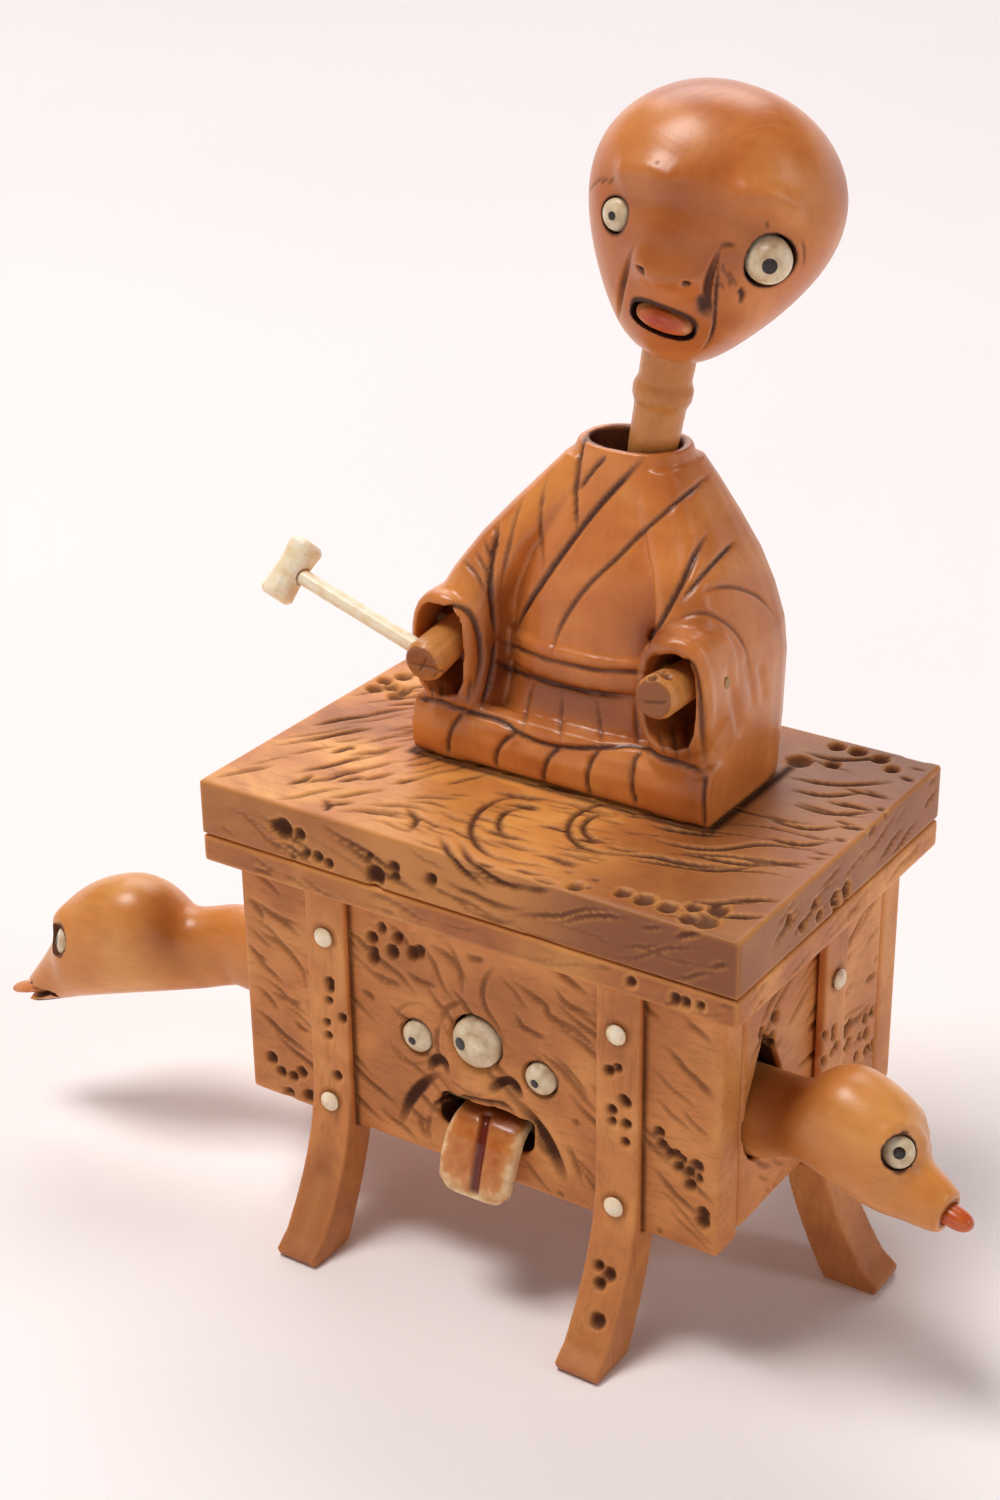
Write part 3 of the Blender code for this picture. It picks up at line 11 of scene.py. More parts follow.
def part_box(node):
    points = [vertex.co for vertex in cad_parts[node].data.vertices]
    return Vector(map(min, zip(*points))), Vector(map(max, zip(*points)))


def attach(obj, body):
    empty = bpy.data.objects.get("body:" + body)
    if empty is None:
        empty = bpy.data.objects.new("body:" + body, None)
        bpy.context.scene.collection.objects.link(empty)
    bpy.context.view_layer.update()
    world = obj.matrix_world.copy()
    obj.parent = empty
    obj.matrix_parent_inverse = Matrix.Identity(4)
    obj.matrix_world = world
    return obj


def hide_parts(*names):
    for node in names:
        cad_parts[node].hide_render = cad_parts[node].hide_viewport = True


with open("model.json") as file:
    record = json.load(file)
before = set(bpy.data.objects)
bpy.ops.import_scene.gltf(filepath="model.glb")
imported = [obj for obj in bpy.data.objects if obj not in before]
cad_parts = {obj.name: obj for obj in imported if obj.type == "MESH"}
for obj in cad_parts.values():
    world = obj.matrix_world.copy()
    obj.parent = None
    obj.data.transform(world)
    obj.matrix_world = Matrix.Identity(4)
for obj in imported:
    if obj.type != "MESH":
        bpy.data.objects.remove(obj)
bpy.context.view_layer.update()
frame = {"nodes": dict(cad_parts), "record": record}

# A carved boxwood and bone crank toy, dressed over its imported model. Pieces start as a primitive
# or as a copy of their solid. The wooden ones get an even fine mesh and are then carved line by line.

MM = 0.001
MM_IN_METRE = 1000
FRONT_SHADE_DEPTH = 0.6 * MM      # how deep the painted shade on a board's front face reaches

# The photograph is 1000 by 1500. Its camera was found from the corners of the lid's boards and of
# the chest's lower edge.
LID_LOW, LID_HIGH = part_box("lid_board")
CHEST_X = (LID_LOW.x + LID_HIGH.x) / 2
CAMERA_PLACE = Vector((CHEST_X + 0.14799, -0.23667, 0.19792))
CAMERA_TURN = Euler([math.radians(angle) for angle in (64.312, 0.748, 33.435)])
CAMERA_LENS = 61.012
FOCAL_PIXELS = 2542.18

# Parts of the photograph that the carving was read from: left, top and photograph pixels per unit.
HEAD_VIEW = (560, 60, 0.2041)
ROBE_VIEW = (340, 400, 0.3061)
LID_VIEW = (180, 640, 0.4974)
FACE_VIEW = (230, 880, 0.2742)
WHOLE_VIEW = (0, 0, 1.0)

# The figure's joints, where the model has them
JOINTS = {joint["name"]: joint for joint in frame["record"]["behaviour"]["joints"]}
NECK_PIVOT = Vector(JOINTS["neck_sway"]["pos_m"]) / MM
NECK_LEAN = math.radians(JOINTS["neck_sway"]["range_deg"][1]) / 2

# The figure's head, in millimetres and degrees
HEAD_WIDTH = 29.6
HEAD_DEPTH = 26.8
HEAD_HIGH = 31.8
CHIN_FROM_PIVOT = 25.4
HEAD_TILT = 7.0
HEAD_YAW = 14.0
NECK_LENGTH = 27.0
NECK_RADIUS = 3.3
FIXED_EYE = 3.7
# An eye's place: degrees round the face, share of the head's half height, degrees of its look
FIXED_EYE_PLACE = (-38.5, 0.07, -24.0)
POP_EYE = 5.4
POP_EYE_PLACE = (41.5, 0.145, 44.0)
MOUTH_HALF = (3.9, 1.9)
SEAT = 0.2
RUNNING = 0.35
FIXED_SOCKET = FIXED_EYE / 2 + SEAT
POP_SOCKET = POP_EYE / 2 + RUNNING

# Height from the head's middle as a share of its half height, and the half width, the front
# and the back as shares of the half width and half depth.
HEAD_PROFILE = [(-0.985, 0.16, 0.24, 0.08), (-0.93, 0.30, 0.44, 0.22), (-0.80, 0.45, 0.64, 0.40),
                (-0.62, 0.60, 0.78, 0.58), (-0.42, 0.75, 0.86, 0.74), (-0.20, 0.88, 0.92, 0.88),
                (0.02, 0.97, 0.96, 0.98), (0.24, 1.0, 0.98, 1.02), (0.46, 0.96, 0.93, 0.98),
                (0.66, 0.83, 0.80, 0.86), (0.82, 0.64, 0.61, 0.67), (0.93, 0.42, 0.40, 0.44),
                (0.99, 0.17, 0.16, 0.18)]

# The two long-necked heads: distance along the head's line, rise, half height and half width.
NECK_Y = -12.4
NECK_HIGH = 11.8
NECK_WIDE = 9.2
CREATURE_EYE = 3.8
CREATURE_SOCKET = CREATURE_EYE / 2 + SEAT
CREATURE_MOUTH_DEPTH = 5.0
RIGHT_HEAD = [(0.0, 0.3, 5.4, 4.6), (1.5, 1.4, 5.35, 4.6), (3.0, 3.0, 6.0, 5.3), (5.0, 4.3, 6.8, 6.0),
              (7.6, 4.6, 7.1, 6.3), (10.1, 4.25, 7.15, 6.3), (12.6, 3.9, 7.0, 6.2),
              (14.6, 3.4, 6.4, 5.8), (15.9, 2.35, 5.4, 4.9), (17.0, 1.3, 4.2, 4.0),
              (18.2, 1.0, 3.6, 3.5), (20.2, 0.85, 3.25, 3.25), (22.2, 0.65, 2.6, 2.6)]
LEFT_HEAD = [(0.0, -0.2, 5.6, 4.6), (5.4, -0.7, 5.5, 4.6), (6.6, 0.55, 6.6, 5.4), (8.6, 1.65, 7.6, 6.4),
             (11.0, 2.35, 8.2, 7.0), (13.5, 2.55, 8.35, 7.2), (17.6, 2.35, 8.1, 7.1),
             (21.4, 1.5, 7.3, 6.6), (23.6, 0.5, 6.4, 5.8), (24.6, -1.0, 5.1, 4.9),
             (26.0, -2.0, 4.2, 4.2), (29.1, -3.8, 2.7, 3.2), (31.0, -4.6, 1.8, 2.6)]
# For each: its side, neck and bend, its mouth and tongue by half width and half height, the
# mouth's cut (distance from the beak's end, rise, half height), how deep each eye is sunk, the
# half height and half width of the hollow painted with shade inside its mouth, the tongue's tint, and its two
# eyes.
CREATURES = {
    "right": {"side": 1, "neck_z": 30.4, "neck_in": 19.4, "bend": 37.5, "droop": 9.0, "turn": 8.0,
              "head": RIGHT_HEAD, "mouth": (1.4 + SEAT, 1.25 + SEAT), "tongue": (1.4, 1.25),
              "slit": [(-CREATURE_MOUTH_DEPTH, 0.0, 1.25 + SEAT), (2.0, 0.0, 1.25 + SEAT)],
              "sunk": {"front": 0.35, "back": 0.65}, "hollow": (1.6, 1.75, 0.4),
              "front_eye": (15.9, 0.84, 0.54, 0.50, 0.70, 0.51),
              "back_eye": (14.2, 0.22, 0.97, 0.30, 0.94, 0.12)},
    "left": {"side": -1, "neck_z": 28.9, "neck_in": 28.5, "bend": 45.0, "droop": 11.1, "turn": 20.0,
             "head": LEFT_HEAD, "mouth": (4.6, 0.65 + SEAT), "tongue": (1.4, 0.65),
             "slit": [(-CREATURE_MOUTH_DEPTH, 0.1, 0.65 + SEAT), (-4.0, 0.75, 0.75), (-2.0, 0.55, 1.2),
                      (2.0, 0.5, 1.5)],
             "sunk": {"front": 0.65, "back": 0.65}, "hollow": (2.0, 2.6, 0.15),
             "front_eye": (23.0, 0.58, 0.76, 0.86, 0.38, 0.34),
             "back_eye": (22.4, 0.56, 0.83, 0.75, 0.53, 0.40)},
}

# Their tongues: distance from the beak's end, and share of the full width and height
CREATURE_TONGUE_STAGES = ((SEAT - CREATURE_MOUTH_DEPTH, 0.96), (-1.0, 1.0), (1.2, 1.0), (2.2, 0.88),
                          (2.9, 0.6), (3.2, 0.25))

# Carving on the head
HEAD_HAIRS = [[(145, 640), (175, 600), (215, 570)], [(225, 610), (240, 590), (262, 578)],
              [(196, 612), (212, 588), (228, 580)], [(1190, 880), (1200, 940), (1195, 1010)],
              [(1040, 835), (1025, 810), (1022, 790)], [(490, 500), (478, 520)]]
HEAD_LEFT_FOLD = [(394, 887), (355, 960), (322, 1039), (300, 1117), (290, 1196), (286, 1270),
                  (294, 1310)]
HEAD_RIGHT_FOLD = [(784, 926), (762, 980), (740, 1039), (725, 1098), (720, 1156), (727, 1215),
                   (730, 1274)]
HEAD_FOLD_EDGE = [(779, 970), (772, 1058), (764, 1147), (760, 1235), (755, 1303), (735, 1372),
                  (691, 1426)]
HEAD_FOLD_FLOOR = [(704, 1127), (708, 1196), (725, 1264)]
HEAD_FOLD_TOP = [(779, 931), (804, 913), (843, 916), (867, 926)]
HEAD_CRACKS = [[(887, 1107), (889, 1150), (885, 1200)], [(867, 1127), (890, 1150), (906, 1166)],
               [(902, 1132), (890, 1165), (882, 1196)]]
HEAD_FINE_CRACKS = [[(794, 1019), (823, 1058), (833, 1117)], [(823, 1029), (857, 1088), (867, 1117)],
                    [(779, 1078), (804, 1127)], [(794, 990), (800, 1040)], [(840, 1060), (838, 1110)]]
# Dark patches: path, width, level. The last four, over the nose, the cheeks and the chin, are painted shade
# on the lower face; the others are stains.
HEAD_STAINS_AND_SHADE = [([(820, 1000)], 5.0, 0.3), ([(825, 1274)], 4.0, 0.35), ([(560, 700)], 9.0, 0.25),
               ([(300, 620)], 7.0, 0.25), ([(560, 900)], 9.0, 0.4), ([(360, 860)], 6.0, 0.35),
               ([(960, 900)], 7.0, 0.35), ([(620, 1330)], 7.0, 0.35)]
HEAD_SCRATCHES = [[(700, 170), (790, 150), (880, 150)], [(760, 205), (850, 180), (960, 190)],
                  [(1000, 250), (1080, 270), (1150, 310)], [(820, 240), (900, 232), (980, 225)],
                  [(920, 345), (990, 322), (1060, 320), (1120, 340), (1170, 380)],
                  [(860, 400), (900, 375), (940, 365)], [(760, 190), (840, 170), (900, 168)],
                  [(1150, 430), (1175, 400)], [(600, 180), (680, 150), (740, 112)]]
NOSTRILS = [((434, 998), 1.35), ((635, 1058), 0.95)]
NOSE_UNDERSIDE = [(415, 1020), (455, 1075), (520, 1108), (590, 1110), (650, 1085)]
BROW_RIDGES = [[(320, 560), (430, 556), (520, 592)], [(920, 672), (1035, 690), (1130, 735)]]
NOSE_BRIDGE = [(520, 850), (530, 930), (530, 990)]
NOSE_WINGS = [(440, 985), (530, 1030), (630, 1045)]
BROW_HOLLOW = [(280, 680), (420, 705), (600, 745), (760, 780), (900, 815), (1080, 850)]
POP_PUPIL = (1028, 1012)

# Rises and hollows: path, width, height. Gouges: paths, width, depth, darkness, run-out.
HEAD_RISES = [(BROW_RIDGES[0], 3.4, 0.95), (BROW_RIDGES[1], 3.4, 0.95), (BROW_HOLLOW, 5.0, -1.0),
              (NOSE_BRIDGE, 6.5, 1.0), (NOSE_WINGS, 4.0, 1.75), (NOSE_UNDERSIDE, 1.8, -0.4)]
HEAD_GOUGES = [([HEAD_LEFT_FOLD], 1.05, 0.6, 0.72, 0.5), ([HEAD_RIGHT_FOLD], 1.15, 0.75, 0.8, 0.35),
               ([HEAD_FOLD_FLOOR], 2.0, 0.5, 0.9, 0.35), ([HEAD_FOLD_EDGE], 0.55, 0.35, 0.85, 0.25),
               ([HEAD_FOLD_TOP], 0.7, 0.3, 0.55, 0.3), (HEAD_CRACKS, 0.55, 0.25, 0.85),
               (HEAD_FINE_CRACKS, 0.4, 0.12, 0.55), (HEAD_HAIRS, 0.42, 0.1, 0.6)]

# Carving on the robe
ROBE_DEEP_CUTS = [[(1000, 182), (930, 255), (850, 340), (770, 440), (670, 580), (600, 690), (565, 770)],
                  [(520, 400), (497, 500), (490, 590), (500, 690), (510, 770)],
                  [(508, 780), (500, 850), (485, 930), (462, 1000)],
                  [(1205, 430), (1165, 500), (1130, 570), (1060, 700), (1020, 770), (1008, 820)]]
ROBE_CUTS = [[(800, 110), (782, 200), (770, 290), (770, 360), (775, 430)],
             [(872, 180), (830, 225), (780, 292)],
             [(1210, 240), (1150, 295), (1080, 350), (990, 430), (900, 520), (820, 595), (760, 670),
              (715, 750), (685, 840)], [(1290, 460), (1235, 520), (1180, 580), (1110, 660)],
             [(510, 778), (590, 815), (680, 850), (790, 875), (900, 888), (1010, 890)],
             [(490, 840), (560, 880), (640, 910), (740, 938), (850, 960), (965, 965)]]
ROBE_FINE_CUTS = [[(680, 240), (660, 320), (655, 400), (665, 560)],
                  [(600, 310), (575, 380), (550, 480), (525, 620)], [(400, 520), (445, 570), (480, 640)],
                  [(440, 490), (472, 550), (492, 610)], [(470, 450), (495, 540)],
                  [(505, 410), (515, 500)],
                  [(1160, 640), (1220, 615), (1290, 612), (1370, 645), (1430, 720)],
                  [(1070, 735), (1130, 705), (1200, 697), (1270, 735), (1320, 800), (1350, 905)],
                  [(630, 920), (612, 1000), (598, 1085)], [(725, 950), (722, 1040), (720, 1130)],
                  [(835, 975), (848, 1050), (856, 1138)], [(965, 975), (968, 1050), (975, 1125)],
                  [(300, 925), (300, 990)], [(335, 920), (328, 990)], [(395, 905), (372, 1000)],
                  [(430, 900), (415, 1000)], [(1040, 1070), (1060, 1165)], [(1085, 1040), (1102, 1195)],
                  [(1130, 990), (1140, 1195)]]
ROBE_SOFT_FOLDS = [[(1270, 900), (1290, 990), (1305, 1070)], [(1330, 870), (1345, 930), (1352, 980)],
                   [(1375, 880), (1385, 960)]]
ROBE_SHADES = [([(520, 650), (492, 827), (484, 982)], 5.0, 0.75), ([(576, 790), (524, 896)], 4.0, 0.5),
               ([(1023, 775), (990, 930), (985, 1085)], 5.0, 0.7),
               ([(640, 960), (850, 1020)], 6.5, 0.75), ([(421, 535), (473, 621)], 3.0, 0.25),
               ([(1100, 860), (1120, 1050), (1120, 1150)], 5.5, 0.7),
               ([(350, 700), (380, 860), (360, 960)], 5.5, 0.7),
               ([(1080, 640), (1170, 700), (1220, 800)], 3.5, 0.35),
               ([(520, 870), (760, 950), (950, 960)], 1.6, 0.4)]

# The sleeves: the mouths' half width and half height, the patches behind (middle, half length,
# radius), and the cuffs by place and thickness. Then the dowels by distance and radius.
SLEEVE_MOUTH = (3.45, 6.0)
SLEEVE_BACKS = [((-10.5, 8.4, 83.3), 5.4, 1.85), ((18.3, 15.2, 82.3), 2.2, 1.8)]
LEFT_CUFF = [(-5.0, 0.3), (-4.8, 0.8), (-4.2, 1.1), (-3.0, 1.25), (1.0, 1.25), (3.0, 0.8)]
RIGHT_CUFF = [(-6.1, 0.35), (-5.9, 0.95), (-5.2, 1.45), (-3.5, 1.65), (1.0, 1.6), (3.0, 0.8)]
ARM_DOWEL = [(-4.3, 0.68), (4.86, 0.7), (5.06, 0.62)]

# The hands' rims and the rolled hem
LEFT_RIM = [(283, 860), (280, 760), (305, 680), (360, 625), (425, 645), (468, 720), (484, 820),
            (478, 920), (455, 985)]
LEFT_RIM_STEP = [(305, 760), (325, 705), (375, 672), (425, 700), (452, 765), (460, 850), (445, 920),
                 (425, 985)]
RIGHT_RIM = [(1012, 905), (1030, 840), (1085, 795), (1140, 810), (1180, 870), (1200, 960), (1205, 1080),
             (1208, 1200)]
RIGHT_RIM_STEP = [(1055, 860), (1100, 842), (1145, 860), (1165, 910), (1178, 1000), (1185, 1100),
                  (1190, 1200)]
ROLL_EDGE = [(250, 972), (320, 985), (400, 1012), (510, 1042), (550, 1062), (580, 1085), (650, 1120),
             (740, 1135), (860, 1136), (960, 1130), (1010, 1142), (1050, 1165), (1120, 1190),
             (1195, 1216)]
ROLL_CUTS = [[(404, 1020), (368, 1065), (352, 1120), (355, 1185)],
             [(575, 1088), (530, 1120), (508, 1165), (515, 1225)],
             [(715, 1135), (680, 1170), (664, 1220), (668, 1272)],
             [(852, 1140), (820, 1180), (806, 1240), (822, 1315)],
             [(985, 1145), (960, 1190), (952, 1260), (975, 1350)],
             [(1195, 1220), (1188, 1290), (1192, 1390)]]
ROLL_HOLLOWS = [(620, 1105), (700, 1140), (780, 1150)]
ROLL_RISES = [(960, 1160), (1020, 1175), (450, 1055)]
ROBE_RISES = [(LEFT_RIM, 1.9, 0.12), (RIGHT_RIM, 1.9, 0.45), (ROLL_HOLLOWS, 2.6, -0.45),
              (ROLL_RISES, 2.6, 0.25), *[(path, 1.6, -0.3) for path in ROBE_SOFT_FOLDS]]
ROBE_GOUGES = [([LEFT_RIM_STEP, RIGHT_RIM_STEP], 0.9, 0.5, 0.8, 0.25),
               (ROBE_DEEP_CUTS, 0.95, 0.55, 0.9, 0.15), (ROBE_CUTS, 0.7, 0.4, 0.85, 0.15),
               (ROBE_FINE_CUTS, 0.6, 0.3, 0.65, 0.3), ([ROLL_EDGE], 0.8, 0.4, 0.9, 0.03),
               (ROLL_CUTS, 0.75, 0.4, 0.85, 0.08)]

# Carving on the lid: broken gouges that follow the grain, and worm holes
LID_WAVES = [[(720, 318), (650, 318), (600, 345), (585, 385), (612, 425), (680, 455)],
             [(700, 335), (655, 345), (640, 370), (655, 400)],
             [(905, 345), (850, 330), (795, 350), (780, 385), (810, 415), (870, 430), (920, 430)],
             [(880, 355), (835, 352), (810, 375), (830, 400), (880, 410)],
             [(560, 400), (590, 450), (650, 490), (720, 500)], [(520, 390), (560, 455), (620, 505)],
             [(930, 392), (1000, 412), (1080, 420), (1180, 410), (1290, 425)],
             [(900, 440), (980, 450), (1080, 462), (1180, 450)], [(940, 370), (1010, 385), (1100, 395)],
             [(455, 335), (475, 360), (460, 385)], [(285, 320), (300, 330), (290, 345)],
             [(240, 262), (300, 252), (380, 228)], [(285, 285), (330, 268), (375, 262)],
             [(245, 205), (320, 188), (372, 180)], [(265, 172), (330, 158), (400, 150)],
             [(300, 228), (345, 215), (350, 222)], [(215, 290), (250, 280), (268, 268)],
             [(1225, 300), (1300, 312), (1380, 305)], [(1230, 330), (1310, 348), (1400, 345)],
             [(1180, 360), (1260, 378), (1330, 375)], [(1220, 275), (1320, 290), (1440, 285)],
             [(1250, 225), (1330, 240), (1440, 232)], [(1170, 395), (1250, 410), (1310, 405)]]
LID_HOLES = [(795, 494), (890, 507), (933, 521), (980, 536), (1025, 559), (1082, 540), (1034, 536),
             (1245, 243), (1312, 249), (1363, 224), (1408, 239), (1432, 259), (1321, 214), (392, 96),
             (425, 92), (450, 100), (437, 111), (450, 73), (412, 80)]
LID_WIDE_HOLES = [(980, 536), (1082, 540), (1245, 243), (1057, 565)]
LID_EDGE_HOLES = [(190, 375), (207, 385), (238, 392), (252, 430), (275, 437), (297, 450), (255, 467),
                  (377, 435), (428, 458), (430, 478), (503, 482)]
LID_EDGE_WIDE_HOLES = [(205, 380), (390, 475)]
LID_EDGE_LINES = [[(120, 345), (200, 372), (300, 420), (420, 500), (560, 560)],
                  [(300, 420), (380, 470), (420, 520)], [(700, 560), (820, 590), (900, 640), (870, 662)],
                  [(640, 540), (700, 590), (820, 620)], [(520, 540), (600, 590), (700, 620)],
                  [(80, 330), (140, 360), (200, 400)], [(900, 600), (980, 640), (1080, 660)]]
RIM_HOLES = [(905, 688), (995, 722), (1015, 730), (1045, 737)]
LID_END_HOLES = [(1226, 565), (1254, 575), (1279, 532), (1287, 555), (1318, 521), (1341, 513),
                 (1341, 498), (1321, 536)]

# The grain's angle at places on the lid's top, each pass of gouges over a part of it, and the
# passes over the two boards' sides: spacing, length, seed, width, depth and darkness.
LID_GRAIN = [(6, 8, 58), (8, 25, 52), (10, 44, 46), (22, 18, 60), (24, 40, 44), (34, 6, -8),
             (42, 12, 10), (54, 5, 8), (60, 12, 16), (73, 5, 34), (64, 22, 14), (70, 30, 10),
             (66, 44, -6), (73, 40, -4)]
LID_TOP_GOUGES = [((0, 0, 52, 56), 2.3, 9.0, 11, 0.9, 0.34, 0.55),
                  ((50, 0, 75, 56), 1.6, 16.0, 16, 0.95, 0.4, 0.85),
                  ((0, 22, 26, 56), 2.4, 12.0, 17, 0.8, 0.34, 0.7),
                  ((14, 0, 56, 24), 2.6, 7.0, 18, 0.75, 0.3, 0.75)]
LID_SIDE_GOUGES = {
    "front": ([(10, 3, -24), (35, 4, -16), (50, 2, 20), (70, 4, 24)], 1.8, 12.0, 12, 0.85, 0.32, 0.6),
    "right": ([(6, 3, 22), (20, 4, 6), (35, 4, 14), (48, 3, 20)], 1.9, 9.0, 13, 0.85, 0.28, 0.42),
    "left": ([(20, 3, 20)], 2.2, 9.0, 14, 0.5, 0.2, 0.3),
    "back": ([(30, 3, -14)], 2.2, 9.0, 15, 0.5, 0.2, 0.3)}
RIM_SIDE_GOUGES = {
    "front": ([(10, 2, -14), (60, 2, 14)], 1.8, 10.0, 21, 0.8, 0.22, 0.4),
    "right": ([(10, 2, 10)], 1.5, 8.0, 22, 0.8, 0.24, 0.35),
    "left": ([(10, 2, 10)], 1.8, 9.0, 23, 0.5, 0.2, 0.3),
    "back": ([(10, 2, 10)], 1.8, 9.0, 24, 0.5, 0.2, 0.3)}
# Where the painted highlight on the lid's top is centred.
LID_HIGHLIGHT_MIDDLE = (560, 400)

# Carving on the chest's face
FACE_HOLES = [(550, 175), (515, 210), (608, 212), (520, 262), (520, 285), (590, 262), (662, 268),
              (686, 262), (150, 650), (185, 700), (228, 718), (260, 703), (215, 780), (285, 790),
              (1561, 923), (1572, 969), (1595, 998), (1623, 1003), (1645, 1022), (1632, 1050),
              (1668, 1071), (1698, 1048), (1705, 1094), (1675, 1117), (1721, 1219), (1721, 1251)]
FACE_CUTS = [[(720, 230), (790, 275), (835, 330), (845, 420)],
             [(965, 310), (925, 370), (920, 430), (935, 480), (975, 540), (1010, 610)],
             [(1020, 360), (1080, 405), (1150, 460), (1160, 492), (1240, 545), (1330, 600)],
             [(1030, 470), (1050, 510), (1070, 540), (1160, 585)],
             [(1180, 390), (1230, 455), (1330, 500)],
             [(1115, 620), (1200, 690), (1260, 760), (1330, 850)],
             [(1180, 640), (1250, 720), (1310, 800)], [(690, 860), (700, 910), (720, 950)],
             [(740, 850), (718, 900), (735, 960)], [(860, 265), (880, 285), (930, 295)],
             [(770, 520), (755, 560), (760, 610), (780, 650), (810, 665)],
             [(770, 520), (790, 470), (850, 440)], [(480, 400), (530, 440)],
             [(640, 330), (690, 370), (760, 390)], [(520, 335), (580, 370), (630, 385)],
             [(1230, 960), (1260, 1040), (1285, 1110)], [(1250, 870), (1270, 900)]]
FACE_EYE_CIRCLE = [(600, 520), (625, 465), (680, 450), (740, 470)]
FACE_EYE_CIRCLE_LOWER = [(580, 560), (595, 620), (640, 665), (700, 668), (742, 640)]
NOSE_LEFT_HOOK = [(728, 700), (740, 665), (768, 650), (795, 660), (812, 700)]
NOSE_RIGHT_HOOK = [(960, 765), (985, 740), (1020, 738), (1045, 770), (1062, 805)]
NOSE_BULB = [(840, 660), (900, 700)]
NOSE_UNDER = [(800, 690), (840, 735), (900, 765), (965, 770)]
LEFT_MOUSTACHE = [(770, 700), (710, 740), (660, 795), (635, 850), (620, 895)]
RIGHT_MOUSTACHE = [(1045, 800), (1090, 860), (1130, 920), (1170, 990), (1200, 1050), (1222, 1110)]
UPPER_LIP = [(735, 850), (760, 805), (800, 785), (870, 780), (940, 795), (1000, 812), (1060, 862)]
FACE_GRAIN = [(5, 30, -28), (5, 14, -26), (20, 26, -24), (30, 30, -60), (50, 26, -28), (62, 20, -32),
              (52, 8, -38)]
FACE_SOILS = [([(590, 250)], 7, 0.2), ([(200, 700)], 8, 0.4)]
TEETH = [(815, 792), (845, 800), (875, 808), (905, 818), (935, 826), (965, 838)]
LEFT_BOARD_CUTS = [[(60, 60), (130, 110), (200, 160), (262, 212)],
                   [(100, 160), (125, 200), (190, 240), (262, 330), (278, 400)],
                   [(60, 230), (100, 275), (142, 300)], [(100, 390), (140, 430), (180, 482)],
                   [(62, 60), (110, 120), (120, 150)], [(120, 100), (180, 140), (250, 165)],
                   [(75, 250), (130, 320), (200, 380)], [(150, 410), (210, 440), (270, 455)],
                   [(235, 510), (262, 545), (290, 550)], [(160, 540), (200, 560)]]
FACE_RISES = [(NOSE_BULB, 6.5, 1.05), (NOSE_UNDER, 2.6, 0.4), (UPPER_LIP, 2.2, 0.3)]
FACE_GOUGES = [(FACE_CUTS, 1.0, 0.4, 0.5, 0.3),
               ([FACE_EYE_CIRCLE, FACE_EYE_CIRCLE_LOWER], 0.6, 0.22, 0.3, 0.3),
               (LEFT_BOARD_CUTS, 0.9, 0.4, 0.5, 0.3),
               ([NOSE_LEFT_HOOK, NOSE_RIGHT_HOOK], 1.8, 0.9, 1.0, 0.3),
               ([NOSE_UNDER], 0.6, 0.3, 0.4, 0.25), ([LEFT_MOUSTACHE], 1.9, 0.8, 1.0, 0.4),
               ([RIGHT_MOUSTACHE], 2.3, 1.0, 1.0, 0.4), ([UPPER_LIP], 0.9, 0.4, 0.85, 0.1)]

# The legs, and the pegs' domes: distance below the top and share of the radius
LEGS = ("front_left", "front_right", "back_left", "back_right", "left", "right")
PEG_DOME = [(0.92, 0.6), (0.9, 0.9), (0.7, 0.99), (0.35, 0.84), (0.1, 0.48), (0.02, 0.12)]
STRIP_HOLES = [(360, 375), (362, 400), (358, 440), (352, 520), (408, 505), (357, 568), (388, 715),
               (1378, 697), (1410, 688), (1430, 800), (1440, 815), (1390, 840), (1392, 882), (1442, 892),
               (1440, 958)]
LEG_WEAR = [(350, 1010), (330, 1110), (300, 1210), (262, 1320)]
LEG_HOLES = [(598, 1266), (608, 1275), (599, 1284), (597, 1321)]

# The centre eye's dome: share of its height and share of its radius
CENTRE_EYE_DOME = [(0.1, 0.97), (0.5, 0.82), (0.84, 0.52), (0.97, 0.2), (1, 0.05)]
TONGUE_GROOVE = [(938, 845), (925, 900), (912, 980), (898, 1060), (886, 1150)]

# Carving and marks on the long-necked heads, the end wall and the hands
LEFT_HEAD_VIEW = (0, 850, 0.1667)
RIGHT_HEAD_VIEW = (760, 1000, 0.2222)
LEFT_BROW = [(330, 330), (355, 400)]
LEFT_HEAD_SMEARS = [([(975, 330), (985, 410), (975, 500)], 6.5, 0.62), ([(640, 520)], 3.0, 0.2),
                    ([(1120, 640)], 6.0, 0.25)]
RIGHT_HEAD_NECK_SHADE = [(15, 400), (45, 460), (60, 540), (50, 620)]
RIGHT_EYE_BROW = [(560, 640), (590, 590), (640, 572), (700, 590), (735, 640)]
CREATURE_MARKS = {
    "left": (LEFT_HEAD_VIEW, LEFT_HEAD_SMEARS, [(LEFT_BROW, 4.0, 0.6)]),
    "right": (RIGHT_HEAD_VIEW, [(RIGHT_HEAD_NECK_SHADE, 9, 0.75)], [(RIGHT_EYE_BROW, 2.0, 0.42)])}
END_WALL_HOLES = [(510, 50), (475, 85), (405, 110), (390, 150), (450, 165), (480, 150), (480, 225),
                  (505, 205), (390, 215), (435, 255), (400, 190), (75, 80), (55, 165), (12, 150),
                  (40, 190)]
END_STRIP_HOLES = [(295, 160), (335, 130), (332, 165), (325, 237), (345, 207), (290, 277)]
EMPTY_HAND_NOTCH = [(1020, 905), (1045, 885), (1068, 900)]
EMPTY_HAND_CRACKS = [[(985, 985), (1040, 990), (1075, 985)], [(1000, 1030), (1030, 1050), (1060, 1040)]]
MALLET_HAND_CRACKS = [[(225, 860), (280, 870), (335, 885)], [(255, 890), (270, 870), (285, 840)],
                      [(300, 920), (320, 890), (345, 885)]]


# Tools of the bench

def deselect():
    if bpy.context.object and bpy.context.object.mode != "OBJECT":
        bpy.ops.object.mode_set(mode="OBJECT")
    bpy.ops.object.select_all(action="DESELECT")


def pick(piece):
    deselect()
    piece.select_set(True)
    bpy.context.view_layer.objects.active = piece


